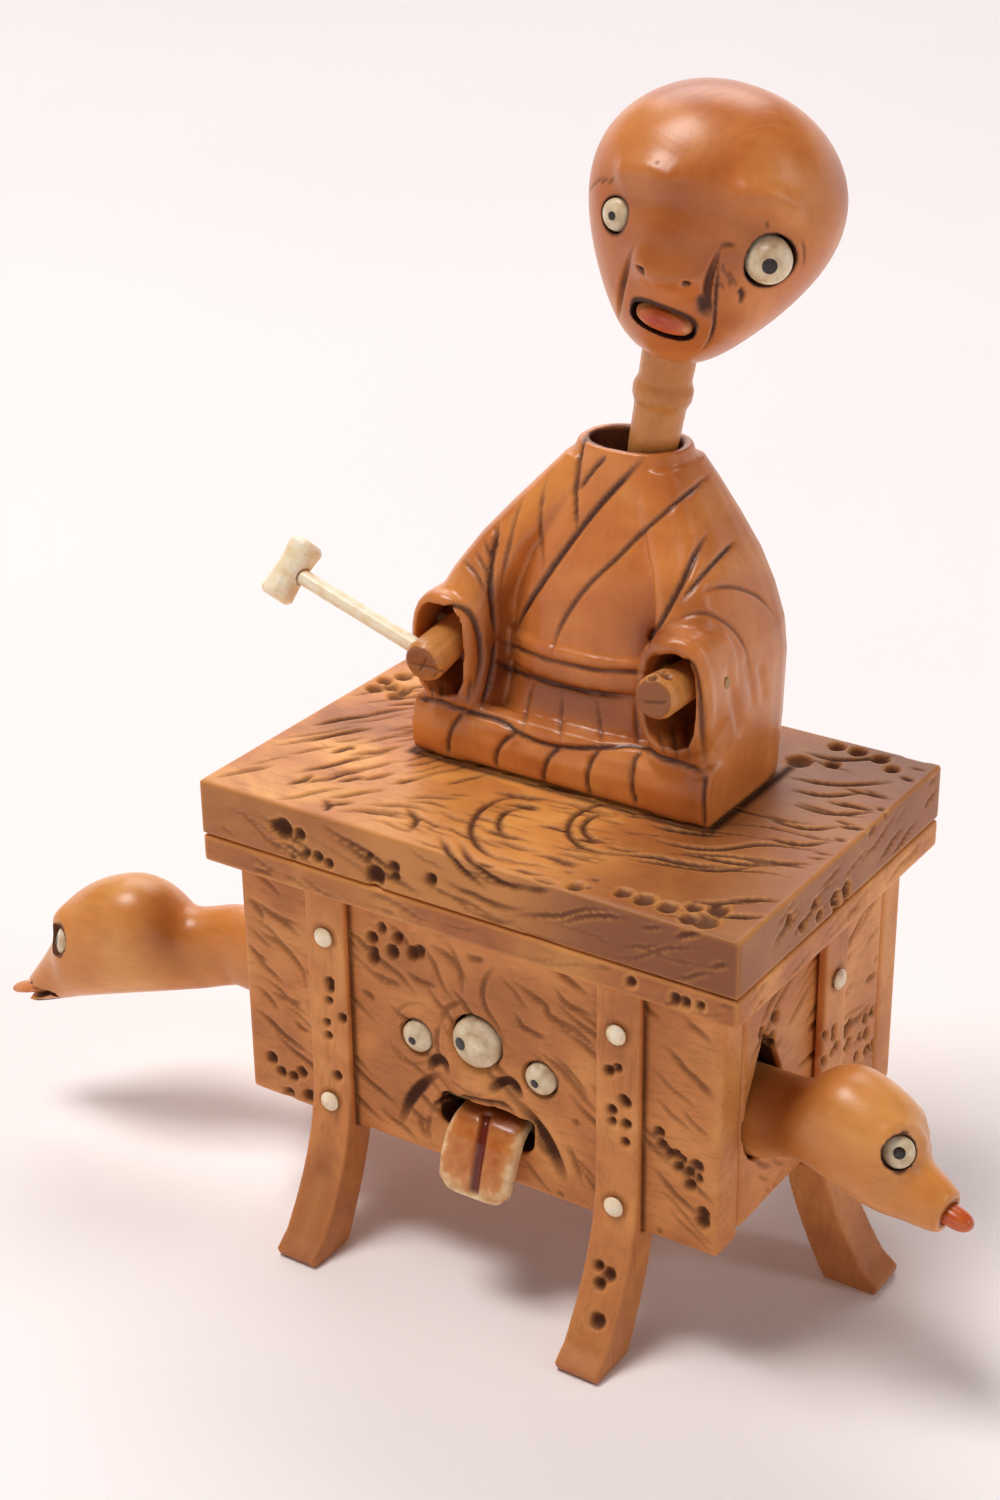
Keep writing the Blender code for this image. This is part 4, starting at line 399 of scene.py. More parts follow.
def use(piece, kind, **settings):
    """Add a modifier to a piece and apply it."""
    pick(piece)
    bpy.ops.object.modifier_add(type=kind)
    modifier = piece.modifiers[-1]
    for name, value in settings.items():
        setattr(modifier, name, value)
    bpy.ops.object.modifier_apply(modifier=modifier.name)


def grow(piece, *solids):
    """Add closed solids to a piece and take them away."""
    for solid in solids:
        use(piece, "BOOLEAN", operation="UNION", object=solid, solver="EXACT")
        bpy.data.objects.remove(solid)


def cut(piece, *cutters):
    for cutter in cutters:
        use(piece, "BOOLEAN", operation="DIFFERENCE", object=cutter, solver="EXACT")
        bpy.data.objects.remove(cutter)


def join(piece, *others):
    pick(piece)
    for other in others:
        other.select_set(True)
    bpy.ops.object.join()


def block(name, low, high):
    """A cube brought to its size and place."""
    deselect()
    low, high = Vector(low), Vector(high)
    bpy.ops.mesh.primitive_cube_add(size=1, location=(low + high) / 2)
    piece = bpy.context.object
    piece.name = piece.data.name = name
    bpy.ops.transform.resize(value=high - low)
    bpy.ops.object.transform_apply(location=True, rotation=True, scale=True)
    return piece


def drawn_out(name, rings, smooth=0):
    """A disc extruded ring by ring, each new ring then moved to its place."""
    deselect()
    bpy.ops.mesh.primitive_circle_add(vertices=len(rings[0]), radius=MM, fill_type="NGON")
    piece = bpy.context.object
    piece.name = piece.data.name = name
    bpy.ops.object.mode_set(mode="EDIT")
    places = [vert.co.copy() for vert in piece.data.vertices]
    for step, ring in enumerate(rings):
        if step:
            bpy.ops.mesh.extrude_region_move()
        mesh = bmesh.from_edit_mesh(piece.data)
        moved = [(min(range(len(places)), key=lambda at: (places[at] - vert.co).length_squared), vert)
                 for vert in mesh.verts if vert.select]
        for at, vert in moved:
            vert.co = ring[at]
        bmesh.update_edit_mesh(piece.data)
        places = [Vector(place) for place in ring]
    bpy.ops.mesh.select_all(action="SELECT")
    bpy.ops.mesh.normals_make_consistent(inside=False)
    bpy.ops.object.mode_set(mode="OBJECT")
    if smooth:
        use(piece, "SUBSURF", levels=smooth, render_levels=smooth)
    return piece


def oval(centre, side, up, wide, high, power=2.0, count=24):
    """A ring of points round a centre, given in millimetres; a power over 2 squares it off."""
    ring = []
    for step in range(count):
        angle = 2 * math.pi * step / count
        across, rise = math.cos(angle), math.sin(angle)
        across = math.copysign(abs(across) ** (2 / power), across)
        rise = math.copysign(abs(rise) ** (2 / power), rise)
        ring.append((Vector(centre) + Vector(side) * across * wide + Vector(up) * rise * high) * MM)
    return ring


def turned(name, profile, place, axis, count=24, smooth=0):
    """A piece turned on a lathe: profile is (distance along the axis, radius) pairs."""
    axis = Vector(axis).normalized()
    side = axis.orthogonal().normalized()
    up = axis.cross(side)
    rings = [oval(Vector(place) + axis * along, side, up, radius, radius, 2.0, count)
             for along, radius in profile]
    return drawn_out(name, rings, smooth)


def copy_of(node, name):
    """A copy of a CAD node's solid, merged, to be worked on."""
    pick(frame["nodes"][node])
    bpy.ops.object.duplicate()
    piece = bpy.context.object
    piece.name = piece.data.name = name
    piece.parent = None
    for key in list(piece.keys()):
        del piece[key]
    piece.data.materials.clear()
    bpy.ops.object.mode_set(mode="EDIT")
    bpy.ops.mesh.select_all(action="SELECT")
    bpy.ops.mesh.remove_doubles(threshold=0.000001)
    bpy.ops.object.mode_set(mode="OBJECT")
    return piece


def fine_mesh(piece, voxel, rounds):
    """An even fine mesh to carve into; the smoothing eases its edges."""
    use(piece, "REMESH", mode="VOXEL", voxel_size=voxel * MM, use_smooth_shade=True)
    if rounds:
        use(piece, "SMOOTH", factor=0.5, iterations=rounds)


def soften(piece, angle=35):
    pick(piece)
    bpy.ops.object.shade_smooth_by_angle(angle=math.radians(angle))


def middle_of(node):
    """The middle of a CAD node's box, in millimetres."""
    low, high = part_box(node)
    return (low + high) / 2 / MM


# Carving

def points_of(piece):
    """A piece's points and the way out of each, as arrays."""
    count = len(piece.data.vertices)
    places, outward = np.empty(count * 3, np.float32), np.empty(count * 3, np.float32)
    piece.data.vertices.foreach_get("co", places)
    piece.data.vertices.foreach_get("normal", outward)
    return places.reshape(-1, 3).astype(float), outward.reshape(-1, 3).astype(float)


def set_level(piece, name, values):
    """Keep a number for each point of a piece, which its material reads."""
    found = piece.data.attributes.get(name) or piece.data.attributes.new(name, "FLOAT", "POINT")
    found.data.foreach_set("value", np.clip(values, 0, 1).astype(np.float32))


def levels_of(piece, name):
    """The number kept for each point of a piece."""
    values = np.empty(len(piece.data.vertices), np.float32)
    piece.data.attributes[name].data.foreach_get("value", values)
    return values


def shade_inside(piece, inside, level):
    """Paint shade on the points of a cut hollow, where inside is true for them."""
    stain_and_shade = levels_of(piece, "stain_and_shade")
    stain_and_shade[inside] = level
    set_level(piece, "stain_and_shade", stain_and_shade)


def shade_socket(piece, at, look, radius, level=0.8):
    """Paint shade on the wall of a round socket cut into a piece."""
    places = points_of(piece)[0] / MM - np.array(at)
    along = places @ np.array(look)
    off = np.linalg.norm(places - along[:, None] * np.array(look), axis=1)
    shade_inside(piece, (off < radius + 0.1) & (np.abs(along) < 6), level)


def rounded_path(points, step):
    """A smooth path through points, with a new one about every step."""
    points = [np.array(point, float) for point in points]
    if len(points) < 3:
        ends = points[0] * 2 - points[-1], points[-1] * 2 - points[0]
    else:
        ends = points[0] * 2 - points[1], points[-1] * 2 - points[-2]
    padded = [ends[0], *points, ends[1]]
    path = []
    for a, b, c, d in zip(padded, padded[1:], padded[2:], padded[3:]):
        count = max(1, int(np.linalg.norm(c - b) / step))
        for at in range(count):
            t = at / count
            path.append(0.5 * (2 * b + (c - a) * t + (2 * a - 5 * b + 4 * c - d) * t * t
                               + (3 * b - a - 3 * c + d) * t ** 3))
    return [*path, points[-1]]


def sight(across, down):
    """The way that the camera looks through a pixel of the photograph."""
    local = Vector(((across - 500) / FOCAL_PIXELS, -(down - 750) / FOCAL_PIXELS, -1))
    local.rotate(CAMERA_TURN)
    return local.normalized()


class Bench:
    """A piece on the bench: its points, how deep each one is carved so far, and its marks."""

    def __init__(self, piece):
        self.piece = piece
        self.places, self.outward = points_of(piece)
        count = len(self.places)
        self.depth, self.lift = np.zeros(count), np.zeros(count)
        self.dye, self.grime, self.rub_and_highlight = np.zeros(count), np.zeros(count), np.zeros(count)
        self.tree = BVHTree.FromObject(piece, bpy.context.evaluated_depsgraph_get())

    def seen(self, view, points, step=2.5):
        """Where sight lines through a path in a part of the photograph meet the piece."""
        left, top, scale = view
        path = rounded_path(points, step / scale) if len(points) > 1 else points
        found = []
        for across, down in path:
            way = sight(left + across * scale, top + down * scale)
            hit = self.tree.ray_cast(CAMERA_PLACE, way)[0]
            if hit:
                found.append(np.array(hit))
        return np.array(found)

    def measure(self, path, reach):
        """Points near a path: which they are, how far off, and how far along it as a share."""
        path = np.asarray(path, float)
        low, high = path.min(0) - reach, path.max(0) + reach
        near = np.where(((self.places > low) & (self.places < high)).all(1))[0]
        if len(path) == 1:
            return near, np.linalg.norm(self.places[near] - path[0], axis=1), np.full(len(near), 0.5)
        off = np.full(len(near), np.inf)
        along = np.zeros(len(near))
        lengths = np.linalg.norm(np.diff(path, axis=0), axis=1)
        total = max(lengths.sum(), 1e-9)
        start = 0.0
        for a, b, length in zip(path, path[1:], lengths):
            if length > 1e-9:
                share = np.clip((self.places[near] - a) @ (b - a) / length ** 2, 0, 1)
                distance = np.linalg.norm(self.places[near] - (a + share[:, None] * (b - a)), axis=1)
                closer = distance < off
                off[closer] = distance[closer]
                along[closer] = (start + share[closer] * length) / total
            start += length
        return near, off, along

    def groove(self, path, wide, deep, dark=1.0, run_out=0.2):
        """A gouge along a path, in millimetres, shallower towards its two ends."""
        if len(path) < 2:
            return
        near, off, along = self.measure(path, wide * MM)
        run = np.clip(np.minimum(along, 1 - along) / run_out, 0, 1) ** 0.6 if run_out else np.ones(len(near))
        half = wide * MM / 2 * (0.4 + 0.6 * run)
        level = deep * MM * run * np.clip(1 - (off / half) ** 2, 0, 1)
        self.depth[near] = np.maximum(self.depth[near], level)
        self.dye[near] = np.maximum(self.dye[near], dark * run * np.clip((1.25 - off / half) * 1.5, 0, 1))

    def grooves(self, view, paths, wide, deep, dark=1.0, run_out=0.2):
        for path in paths:
            self.groove(self.seen(view, path), wide, deep, dark, run_out)

    def gouges(self, view, rows):
        """Several kinds of gouge: in each row the paths, then what grooves asks for."""
        for paths, *kind in rows:
            self.grooves(view, paths, *kind)

    def pit(self, place, wide, deep, dark=1.0):
        """A worm hole, or a chip."""
        near, off, _ = self.measure([place], wide * MM)
        half = wide * MM / 2
        level = deep * MM * np.clip(1 - (off / half) ** 2, 0, 1) ** 0.5
        self.depth[near] = np.maximum(self.depth[near], level)
        self.dye[near] = np.maximum(self.dye[near], dark * np.clip(1.5 * (1.25 - off / half), 0, 1))

    def pits(self, view, places, wide, deep, dark=1.0, seed=1):
        """Holes at places in a part of the photograph, no two of quite the same size."""
        picks = np.random.default_rng(seed)
        for place in places:
            size = wide * (0.8 + 0.4 * picks.random())
            for hit in self.seen(view, [place]):
                self.pit(hit, size, deep, dark)

    def swell(self, path, wide, high):
        """A soft rise along a path, or round one point; below 0 it is a hollow."""
        if len(path):
            near, off, _ = self.measure(path, wide * MM * 1.5)
            self.lift[near] += high * MM * np.exp(-(off / (wide * MM / 2)) ** 2)

    def swells(self, view, rows):
        """Soft rises, each row a path in the photograph with its width and height."""
        for path, wide, high in rows:
            self.swell(self.seen(view, path), wide, high)

    def soil_and_shade(self, path, wide, level):
        """A soft dark patch along a path, or round one point."""
        if len(path):
            near, off, _ = self.measure(path, wide * MM * 1.5)
            self.grime[near] += level * np.exp(-(off / (wide * MM / 2)) ** 2)

    def soils_and_shades(self, view, rows):
        """Dark patches, each row a path in the photograph with its width and level."""
        for path, wide, level in rows:
            self.soil_and_shade(self.seen(view, path), wide, level)

    def scratch(self, path, wide, level):
        """A fine light scratch."""
        near, off, _ = self.measure(path, wide * MM)
        self.rub_and_highlight[near] = np.maximum(self.rub_and_highlight[near], level * np.clip(1 - off / (wide * MM / 2), 0, 1))

    def on_skin(self, ring):
        """The places on the piece that lie nearest to those of a ring."""
        return [np.array(self.tree.find_nearest(Vector(place))[0]) for place in ring]

    def finish(self):
        """Move the points by what was carved and keep the marks that the material reads."""
        mesh = self.piece.data
        edges = np.empty(len(mesh.edges) * 2, np.int32)
        mesh.edges.foreach_get("vertices", edges)
        first, second = edges[0::2], edges[1::2]
        count = len(self.places)
        shared = np.maximum(np.bincount(first, minlength=count) + np.bincount(second, minlength=count), 1)

        def beside(values):
            total = np.bincount(first, values[second], count) + np.bincount(second, values[first], count)
            return total / shared

        self.depth = (self.depth + beside(self.depth)) / 2
        self.dye = (self.dye + beside(self.dye)) / 2
        moved = self.places + self.outward * (self.lift - self.depth)[:, None]
        mesh.vertices.foreach_set("co", moved.astype(np.float32).ravel())
        mesh.update()
        outward = points_of(self.piece)[1]
        around = np.stack([beside(moved[:, way]) for way in range(3)], 1)
        bulge = ((moved - around) * outward).sum(1)
        # Marks for the material: dark dye with painted shade in hollows, dark patches of dirt with painted
        # shade, and pale wear and scratches with painted highlights.
        set_level(self.piece, "stain_and_shade", self.dye)
        set_level(self.piece, "grime", self.grime)
        set_level(self.piece, "wear_and_highlight", np.maximum(bulge / (0.05 * MM) - 0.15, self.rub_and_highlight))


def take(node, name, voxel, rounds):
    """A copy of a CAD node's solid on the bench, with an even fine mesh."""
    piece = copy_of(node, name)
    fine_mesh(piece, voxel, rounds)
    return Bench(piece)


def front_face(bench, low):
    """1 for a board's points on its front face, and 0 for those well behind it."""
    return np.clip((low.y + FRONT_SHADE_DEPTH - bench.places[:, 1]) / FRONT_SHADE_DEPTH, 0, 1)


def face_of(node, side):
    """A flat side of a node's box: corner, two directions, and width and height in millimetres."""
    low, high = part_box(node)
    size = (high - low) / MM
    return {"top": (Vector((low.x, low.y, high.z)), (1, 0, 0), (0, 1, 0), size.x, size.y),
            "front": (low, (1, 0, 0), (0, 0, 1), size.x, size.z),
            "back": (Vector((high.x, high.y, low.z)), (-1, 0, 0), (0, 0, 1), size.x, size.z),
            "left": (Vector((low.x, high.y, low.z)), (0, -1, 0), (0, 0, 1), size.y, size.z),
            "right": (Vector((high.x, low.y, low.z)), (0, 1, 0), (0, 0, 1), size.y, size.z)}[side]


def part_of(face, left, low, right, high):
    """A part of a flat side, from its limits in millimetres."""
    corner, across, up = face[:3]
    return corner + (Vector(across) * left + Vector(up) * low) * MM, across, up, right - left, high - low


def comb_gouges(bench, face, comb, gap, length, seed, wide=0.55, deep=0.28, dark=0.4):
    """Short broken gouges over a flat face that follow the grain.

    comb holds the grain's way at some places: place across, place up and angle in degrees.
    """
    picks = np.random.default_rng(seed)
    corner, across, up = (np.array(part, float) for part in face[:3])
    width, height = face[3:]
    rows, columns = max(1, int(height / gap)), max(1, int(width / length * 1.15))
    comb = np.array(comb, float)

    def grain(at):
        away = 1 / (((comb[:, :2] - at) ** 2).sum(1) + 4) ** 1.5
        double = np.radians(comb[:, 2]) * 2
        return math.atan2((away * np.sin(double)).sum(), (away * np.cos(double)).sum()) / 2

    for row in range(rows):
        for column in range(columns):
            at = np.array([(column + picks.random()) / columns * width,
                           (row + picks.random()) / rows * height])
            reach = length * (0.45 + 0.8 * picks.random())
            wave = picks.random() * 6
            path = [at]
            last = np.array([math.cos(grain(at)), math.sin(grain(at))])
            for step in range(8):
                angle = grain(path[-1]) + 0.16 * math.sin(wave + step * 1.1)
                angle += (picks.random() - 0.5) * 0.16
                ahead = np.array([math.cos(angle), math.sin(angle)])
                if ahead @ last < 0:
                    ahead = -ahead
                last = ahead
                path.append(path[-1] + ahead * reach / 8)
            inside = [p for p in path if 0.3 < p[0] < width - 0.3 and 0.3 < p[1] < height - 0.3]
            size = 0.55 + 0.65 * picks.random()
            line = [corner + (across * p[0] + up * p[1]) * MM for p in inside]
            bench.groove(line, wide * size, deep * size, dark * (0.5 + size / 2), 0.35)


def comb_sides(bench, node, gouges, *sides):
    """Gouge flat sides of a node's box, each as its row says."""
    for side in sides:
        comb_gouges(bench, face_of(node, side), *gouges[side])


# Materials

def linear(code, alpha=1.0):
    """An sRGB hex colour as linear numbers."""
    parts = [int(code[at:at + 2], 16) / 255 for at in (0, 2, 4)]
    return (*[p / 12.92 if p <= 0.04045 else ((p + 0.055) / 1.055) ** 2.4 for p in parts], alpha)


def connect(tree, made, links):
    """Set or link a node's inputs."""
    for name, value in links.items():
        if isinstance(value, bpy.types.NodeSocket):
            tree.links.new(value, made.inputs[name])
        else:
            made.inputs[name].default_value = value


def add(tree, kind, output, links, **settings):
    """Add a node with its settings and inputs, and return one of its outputs."""
    made = tree.nodes.new(kind)
    for name, value in settings.items():
        setattr(made, name, value)
    connect(tree, made, links)
    return made.outputs[output]


def place_on(tree, stretch=(1, 1, 1)):
    """A point's place on its piece in millimetres, stretched along X, Y and Z."""
    place = add(tree, "ShaderNodeTexCoord", "Object", {})
    scale = [MM_IN_METRE * share for share in stretch]
    return add(tree, "ShaderNodeMapping", 0, {"Vector": place, "Scale": scale})


def noise(tree, place, scale, **settings):
    """Cloudy noise; the settings are inputs of its node."""
    return add(tree, "ShaderNodeTexNoise", "Fac", {"Vector": place, "Scale": scale, **settings})


def kept(tree, name):
    """The number of that name kept for each point."""
    return add(tree, "ShaderNodeAttribute", "Fac", {}, attribute_name=name)


def mix(tree, share, first, second, blend="MIX"):
    """The first colour, with a share of the second."""
    return add(tree, "ShaderNodeMix", 2, {0: share, 6: first, 7: second}, data_type="RGBA", blend_type=blend)


def work_out(tree, operation, *values):
    """A sum or a product."""
    return add(tree, "ShaderNodeMath", 0, dict(enumerate(values)), operation=operation)


def ranged(tree, value, low, high, to_low, to_high):
    """A number brought from one range to another."""
    return add(tree, "ShaderNodeMapRange", 0,
               {"Value": value, "From Min": low, "From Max": high, "To Min": to_low, "To Max": to_high})


def bumped(tree, height, strength, distance):
    return add(tree, "ShaderNodeBump", 0, {"Height": height, "Strength": strength, "Distance": distance})


def ramp(tree, value, *stops):
    """The colour for a value: each stop is a value and its colour, as a code or as linear numbers."""
    made = tree.nodes.new("ShaderNodeValToRGB")
    tree.links.new(value, made.inputs["Fac"])
    stops = [(place, linear(colour) if isinstance(colour, str) else colour) for place, colour in stops]
    elements = made.color_ramp.elements
    elements[0].position, elements[0].color = stops[0]
    elements[1].position, elements[1].color = stops[-1]
    for place, colour in stops[1:-1]:
        elements.new(place).color = colour
    return made.outputs["Color"]


def start(name):
    made = bpy.data.materials.new(name)
    made.use_nodes = True
    tree = made.node_tree
    return made, tree, tree.nodes["Principled BSDF"]


def stained_wood(name, dark, middle, light, stain_and_shade, soil_and_shade, grain, rough, coat=0.0, lightening=0.5, fibres=0.5):
    """Close-grained wood, dyed and oiled: fibre lines, cloudy dye, dark recesses and painted shade, pale
    handled edges and painted highlights.

    grain is how much shorter the pattern is along X, Y and Z, so the small number is the grain's way.
    """
    made, tree, shader = start(name)
    along = place_on(tree, grain)
    fine = noise(tree, along, 1.0, Detail=5.0, Roughness=0.62)
    broad = noise(tree, place_on(tree), 0.09, Detail=4.0, Distortion=0.5)
    pores = noise(tree, along, 4.5, Detail=2.0)
    cloud = ramp(tree, broad, (0.34, dark), (0.50, middle), (0.66, light))
    lines = ramp(tree, fine, (0.34, (0.70, 0.64, 0.58, 1)), (0.48, (1, 1, 1, 1)),
                 (0.68, (1.08, 1.07, 1.03, 1)))
    grained = mix(tree, fibres, cloud, lines, "MULTIPLY")
    darkened = mix(tree, kept(tree, "grime"), grained, linear(soil_and_shade))
    uneven = work_out(tree, "MULTIPLY_ADD", pores, 0.3, kept(tree, "stain_and_shade"))
    stained = mix(tree, ranged(tree, uneven, 0.20, 1.02, 0.0, 1.0), darkened, linear(stain_and_shade))
    lightened = work_out(tree, "MULTIPLY", kept(tree, "wear_and_highlight"), lightening)
    connect(tree, shader, {
        "Base Color": mix(tree, lightened, stained, linear(light)),
        "Roughness": ranged(tree, uneven, 0.15, 1.1, rough, 0.85),
        "Normal": bumped(tree, work_out(tree, "ADD", fine, pores), 0.25, 0.00006),
        "Specular IOR Level": 0.35, "Coat Weight": coat, "Coat Roughness": 0.28})
    return made


def polished_bone(name, dark, middle, light, rough=0.3):
    """Bone: warm white with short brown flecks, satin from handling."""
    made, tree, shader = start(name)
    place = place_on(tree)
    cloud = noise(tree, place, 0.55, Detail=4.0)
    fleck = noise(tree, place, 3.4, Detail=3.0)
    base = ramp(tree, cloud, (0.30, dark), (0.48, middle), (0.68, light))
    flecks = ramp(tree, fleck, (0.30, (0.60, 0.50, 0.38, 1)), (0.38, (1, 1, 1, 1)))
    flecked = mix(tree, 0.5, base, flecks, "MULTIPLY")
    connect(tree, shader, {
        "Base Color": mix(tree, kept(tree, "stain_and_shade"), flecked, linear("6A3A1C")), "Roughness": rough,
        "Subsurface Weight": 0.12, "Subsurface Radius": (0.0012, 0.0008, 0.0005), "Subsurface Scale": 1.0,
        "Normal": bumped(tree, fleck, 0.2, 0.00004)})
    return made


def dyed_bone(name, cream, half_dyed, dye, deep):
    """Bone stained orange-red: the dye is thin on handled edges and dark in the grooves; on the chest's
    tongue its pale rim is also a painted highlight and its dark top is painted shade.
    """
    made, tree, shader = start(name)
    cloud = noise(tree, place_on(tree), 0.6, Detail=4.0)
    level = work_out(tree, "MULTIPLY_ADD", cloud, 0.7, kept(tree, "tint"))
    colour = ramp(tree, level, (0.36, cream), (0.62, half_dyed), (0.95, dye))
    colour = mix(tree, kept(tree, "stain_and_shade"), colour, linear(deep))
    connect(tree, shader, {"Base Color": colour, "Roughness": 0.26})
    return made


def dark_horn():
    """Black horn pupils, polished."""
    made, tree, shader = start("polished_black_horn")
    cloud = noise(tree, add(tree, "ShaderNodeTexCoord", "Object", {}), 2500.0, Detail=3.0)
    colour = ramp(tree, cloud, (0.3, "15100D"), (0.8, "3A2A20"))
    connect(tree, shader, {"Base Color": colour, "Roughness": 0.25})
    return made


CHEST_COLOURS = ("B66F3A", "CC8044", "DC9452", "4E260F", "90532F")
LID_WOOD = stained_wood("oiled_lid_wood", "B86C34", "D48644", "ECA454", "4E260E", "8A4F2C",
                        (0.30, 1.2, 1.2), 0.42, lightening=0.45)
CHEST_X_GRAIN = stained_wood("oiled_chest_wood_across", *CHEST_COLOURS, (0.30, 1.5, 1.5), 0.46, lightening=0.45)
CHEST_Y_GRAIN = stained_wood("oiled_chest_wood_deep", *CHEST_COLOURS, (1.5, 0.30, 1.5), 0.46, lightening=0.45)
CHEST_Z_GRAIN = stained_wood("oiled_chest_wood_upright", *CHEST_COLOURS, (1.5, 1.5, 0.30), 0.46, lightening=0.45)
ARM_WOOD = stained_wood("handled_boxwood_arms", "C07A3C", "D08A48", "E09C58", "4E240F", "84451F",
                        (1.1, 0.2, 1.1), 0.34, coat=0.2, lightening=0.3, fibres=0.3)
ROBE_WOOD = stained_wood("stained_boxwood_robe", "C26C2C", "D07A36", "E08E44", "4E220C", "80401C",
                         (1.2, 1.2, 0.16), 0.40, coat=0.5, lightening=0.25, fibres=0.22)
HEAD_WOOD = stained_wood("polished_boxwood_head", "BA652C", "C87234", "D88644", "46200F", "8E421C",
                         (0.9, 0.9, 0.25), 0.36, coat=0.3, lightening=0.45, fibres=0.2)
CREATURE_WOOD = stained_wood("smooth_boxwood_necks", "CE803C", "D88C46", "E09A54", "4E240F", "8A4216",
                             (0.16, 1.1, 1.1), 0.32, coat=0.2, lightening=0.15, fibres=0.22)
INNER_WOOD = stained_wood("plain_inner_wood", "8F6A44", "A98454", "BD9868", "3A2416", "6B4A2C",
                          (1.2, 1.2, 0.3), 0.6, lightening=0.1)
BONE = polished_bone("polished_bone", "C4A680", "DEC8A4", "EEE0C4")
PEG_BONE = polished_bone("pale_bone_pegs", "E2C8A2", "F4E0BE", "FCF0D8", 0.38)
HANDLE_BONE = polished_bone("ivory_coloured_bone", "F0D6A8", "FCE8C4", "FFF4DC", 0.33)
TONGUE_BONE = dyed_bone("dyed_bone_tongue", "EED2A0", "CC8444", "B05A22", "6A2010")
RED_BONE = dyed_bone("dyed_red_bone", "E2A068", "CF6830", "B8401A", "571A0C")
HORN = dark_horn()


def dress(piece, body, material, slot, *nodes):
    """Finish a piece: its material, the body it moves with and the nodes it stands for. The slot is not used.
    """
    if not piece.data.materials:
        piece.data.materials.append(material)
    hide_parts(*nodes)
    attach(piece, body)
    return piece


# Camera, floor and light

WALL_RADIUS = 6
WALL_HEIGHT = 2.2
WALL_GLOW = 0.45

# Each light: its place, what it points at, its size in metres, its power and its colour
LIGHTS = [("overhead_soft_box", (-0.45, -0.35, 1.75), (0, 0, 0.05), (0.65, 0.65), 22.0, "FFFBF8"),
          ("backdrop_light", (-2.0, 3.2, 3.2), (-1.6, 2.4, 0), (3.5, 3.5), 130.0, "FFFDFD"),
          ("right_strip", (0.9, 0.25, 0.7), (0, 0, 0.08), (0.25, 0.5), 1.5, "FFFFFF"),
          ("front_fill", (0.75, -0.85, 0.55), (0, 0, 0.07), (0.6, 0.6), 0.55, "FFFAF6")]


def set_camera():
    bpy.ops.object.camera_add(location=CAMERA_PLACE, rotation=CAMERA_TURN)
    camera = bpy.context.object
    camera.data.lens = CAMERA_LENS
    camera.data.sensor_width = 36
    camera.data.clip_start = 0.01
    bpy.context.scene.camera = camera


def lay_floor():
    deselect()
    bpy.ops.mesh.primitive_plane_add(size=30)
    floor = bpy.context.object
    floor.name = "studio_floor"
    made, tree, shader = start("pale_studio_paper")
    cloud = noise(tree, add(tree, "ShaderNodeTexCoord", "Object", {}), 3.0)
    colour = ramp(tree, cloud, (0.3, "F7F1F1"), (0.7, "FAF5F5"))
    connect(tree, shader, {"Base Color": colour, "Roughness": 0.9, "Specular IOR Level": 0.1})
    floor.data.materials.append(made)


def put_up_wall():
    """A round wall of lit paper, far behind the floor, for the views from low down."""
    deselect()
    bpy.ops.mesh.primitive_cylinder_add(vertices=96, radius=WALL_RADIUS, depth=WALL_HEIGHT,
                                        end_fill_type="NOTHING", location=(0, 0, WALL_HEIGHT / 2))
    wall = bpy.context.object
    wall.name = "studio_wall"
    made, tree, shader = start("lit_studio_paper")
    connect(tree, shader, {"Base Color": linear("F7F1F1"), "Roughness": 0.9,
                           "Emission Color": linear("FFFBFA"), "Emission Strength": WALL_GLOW})
    wall.data.materials.append(made)


def area_light(name, place, aim, size, power, colour):
    bpy.ops.object.light_add(type="AREA", location=place)
    light = bpy.context.object
    light.name = name
    light.rotation_euler = (Vector(aim) - Vector(place)).to_track_quat("-Z", "Y").to_euler()
    light.data.shape = "RECTANGLE"
    light.data.size, light.data.size_y = size
    light.data.energy = power
    light.data.color = linear(colour)[:3]


def set_lights():
    for light in LIGHTS:
        area_light(*light)
    world = bpy.data.worlds.new("studio")
    bpy.context.scene.world = world
    world.use_nodes = True
    tree = world.node_tree
    connect(tree, tree.nodes["Background"], {"Color": linear("FFFBFA"), "Strength": 0.02})
    scene = bpy.context.scene
    scene.view_settings.view_transform = "Standard"
    scene.view_settings.look = "None"


# The chest

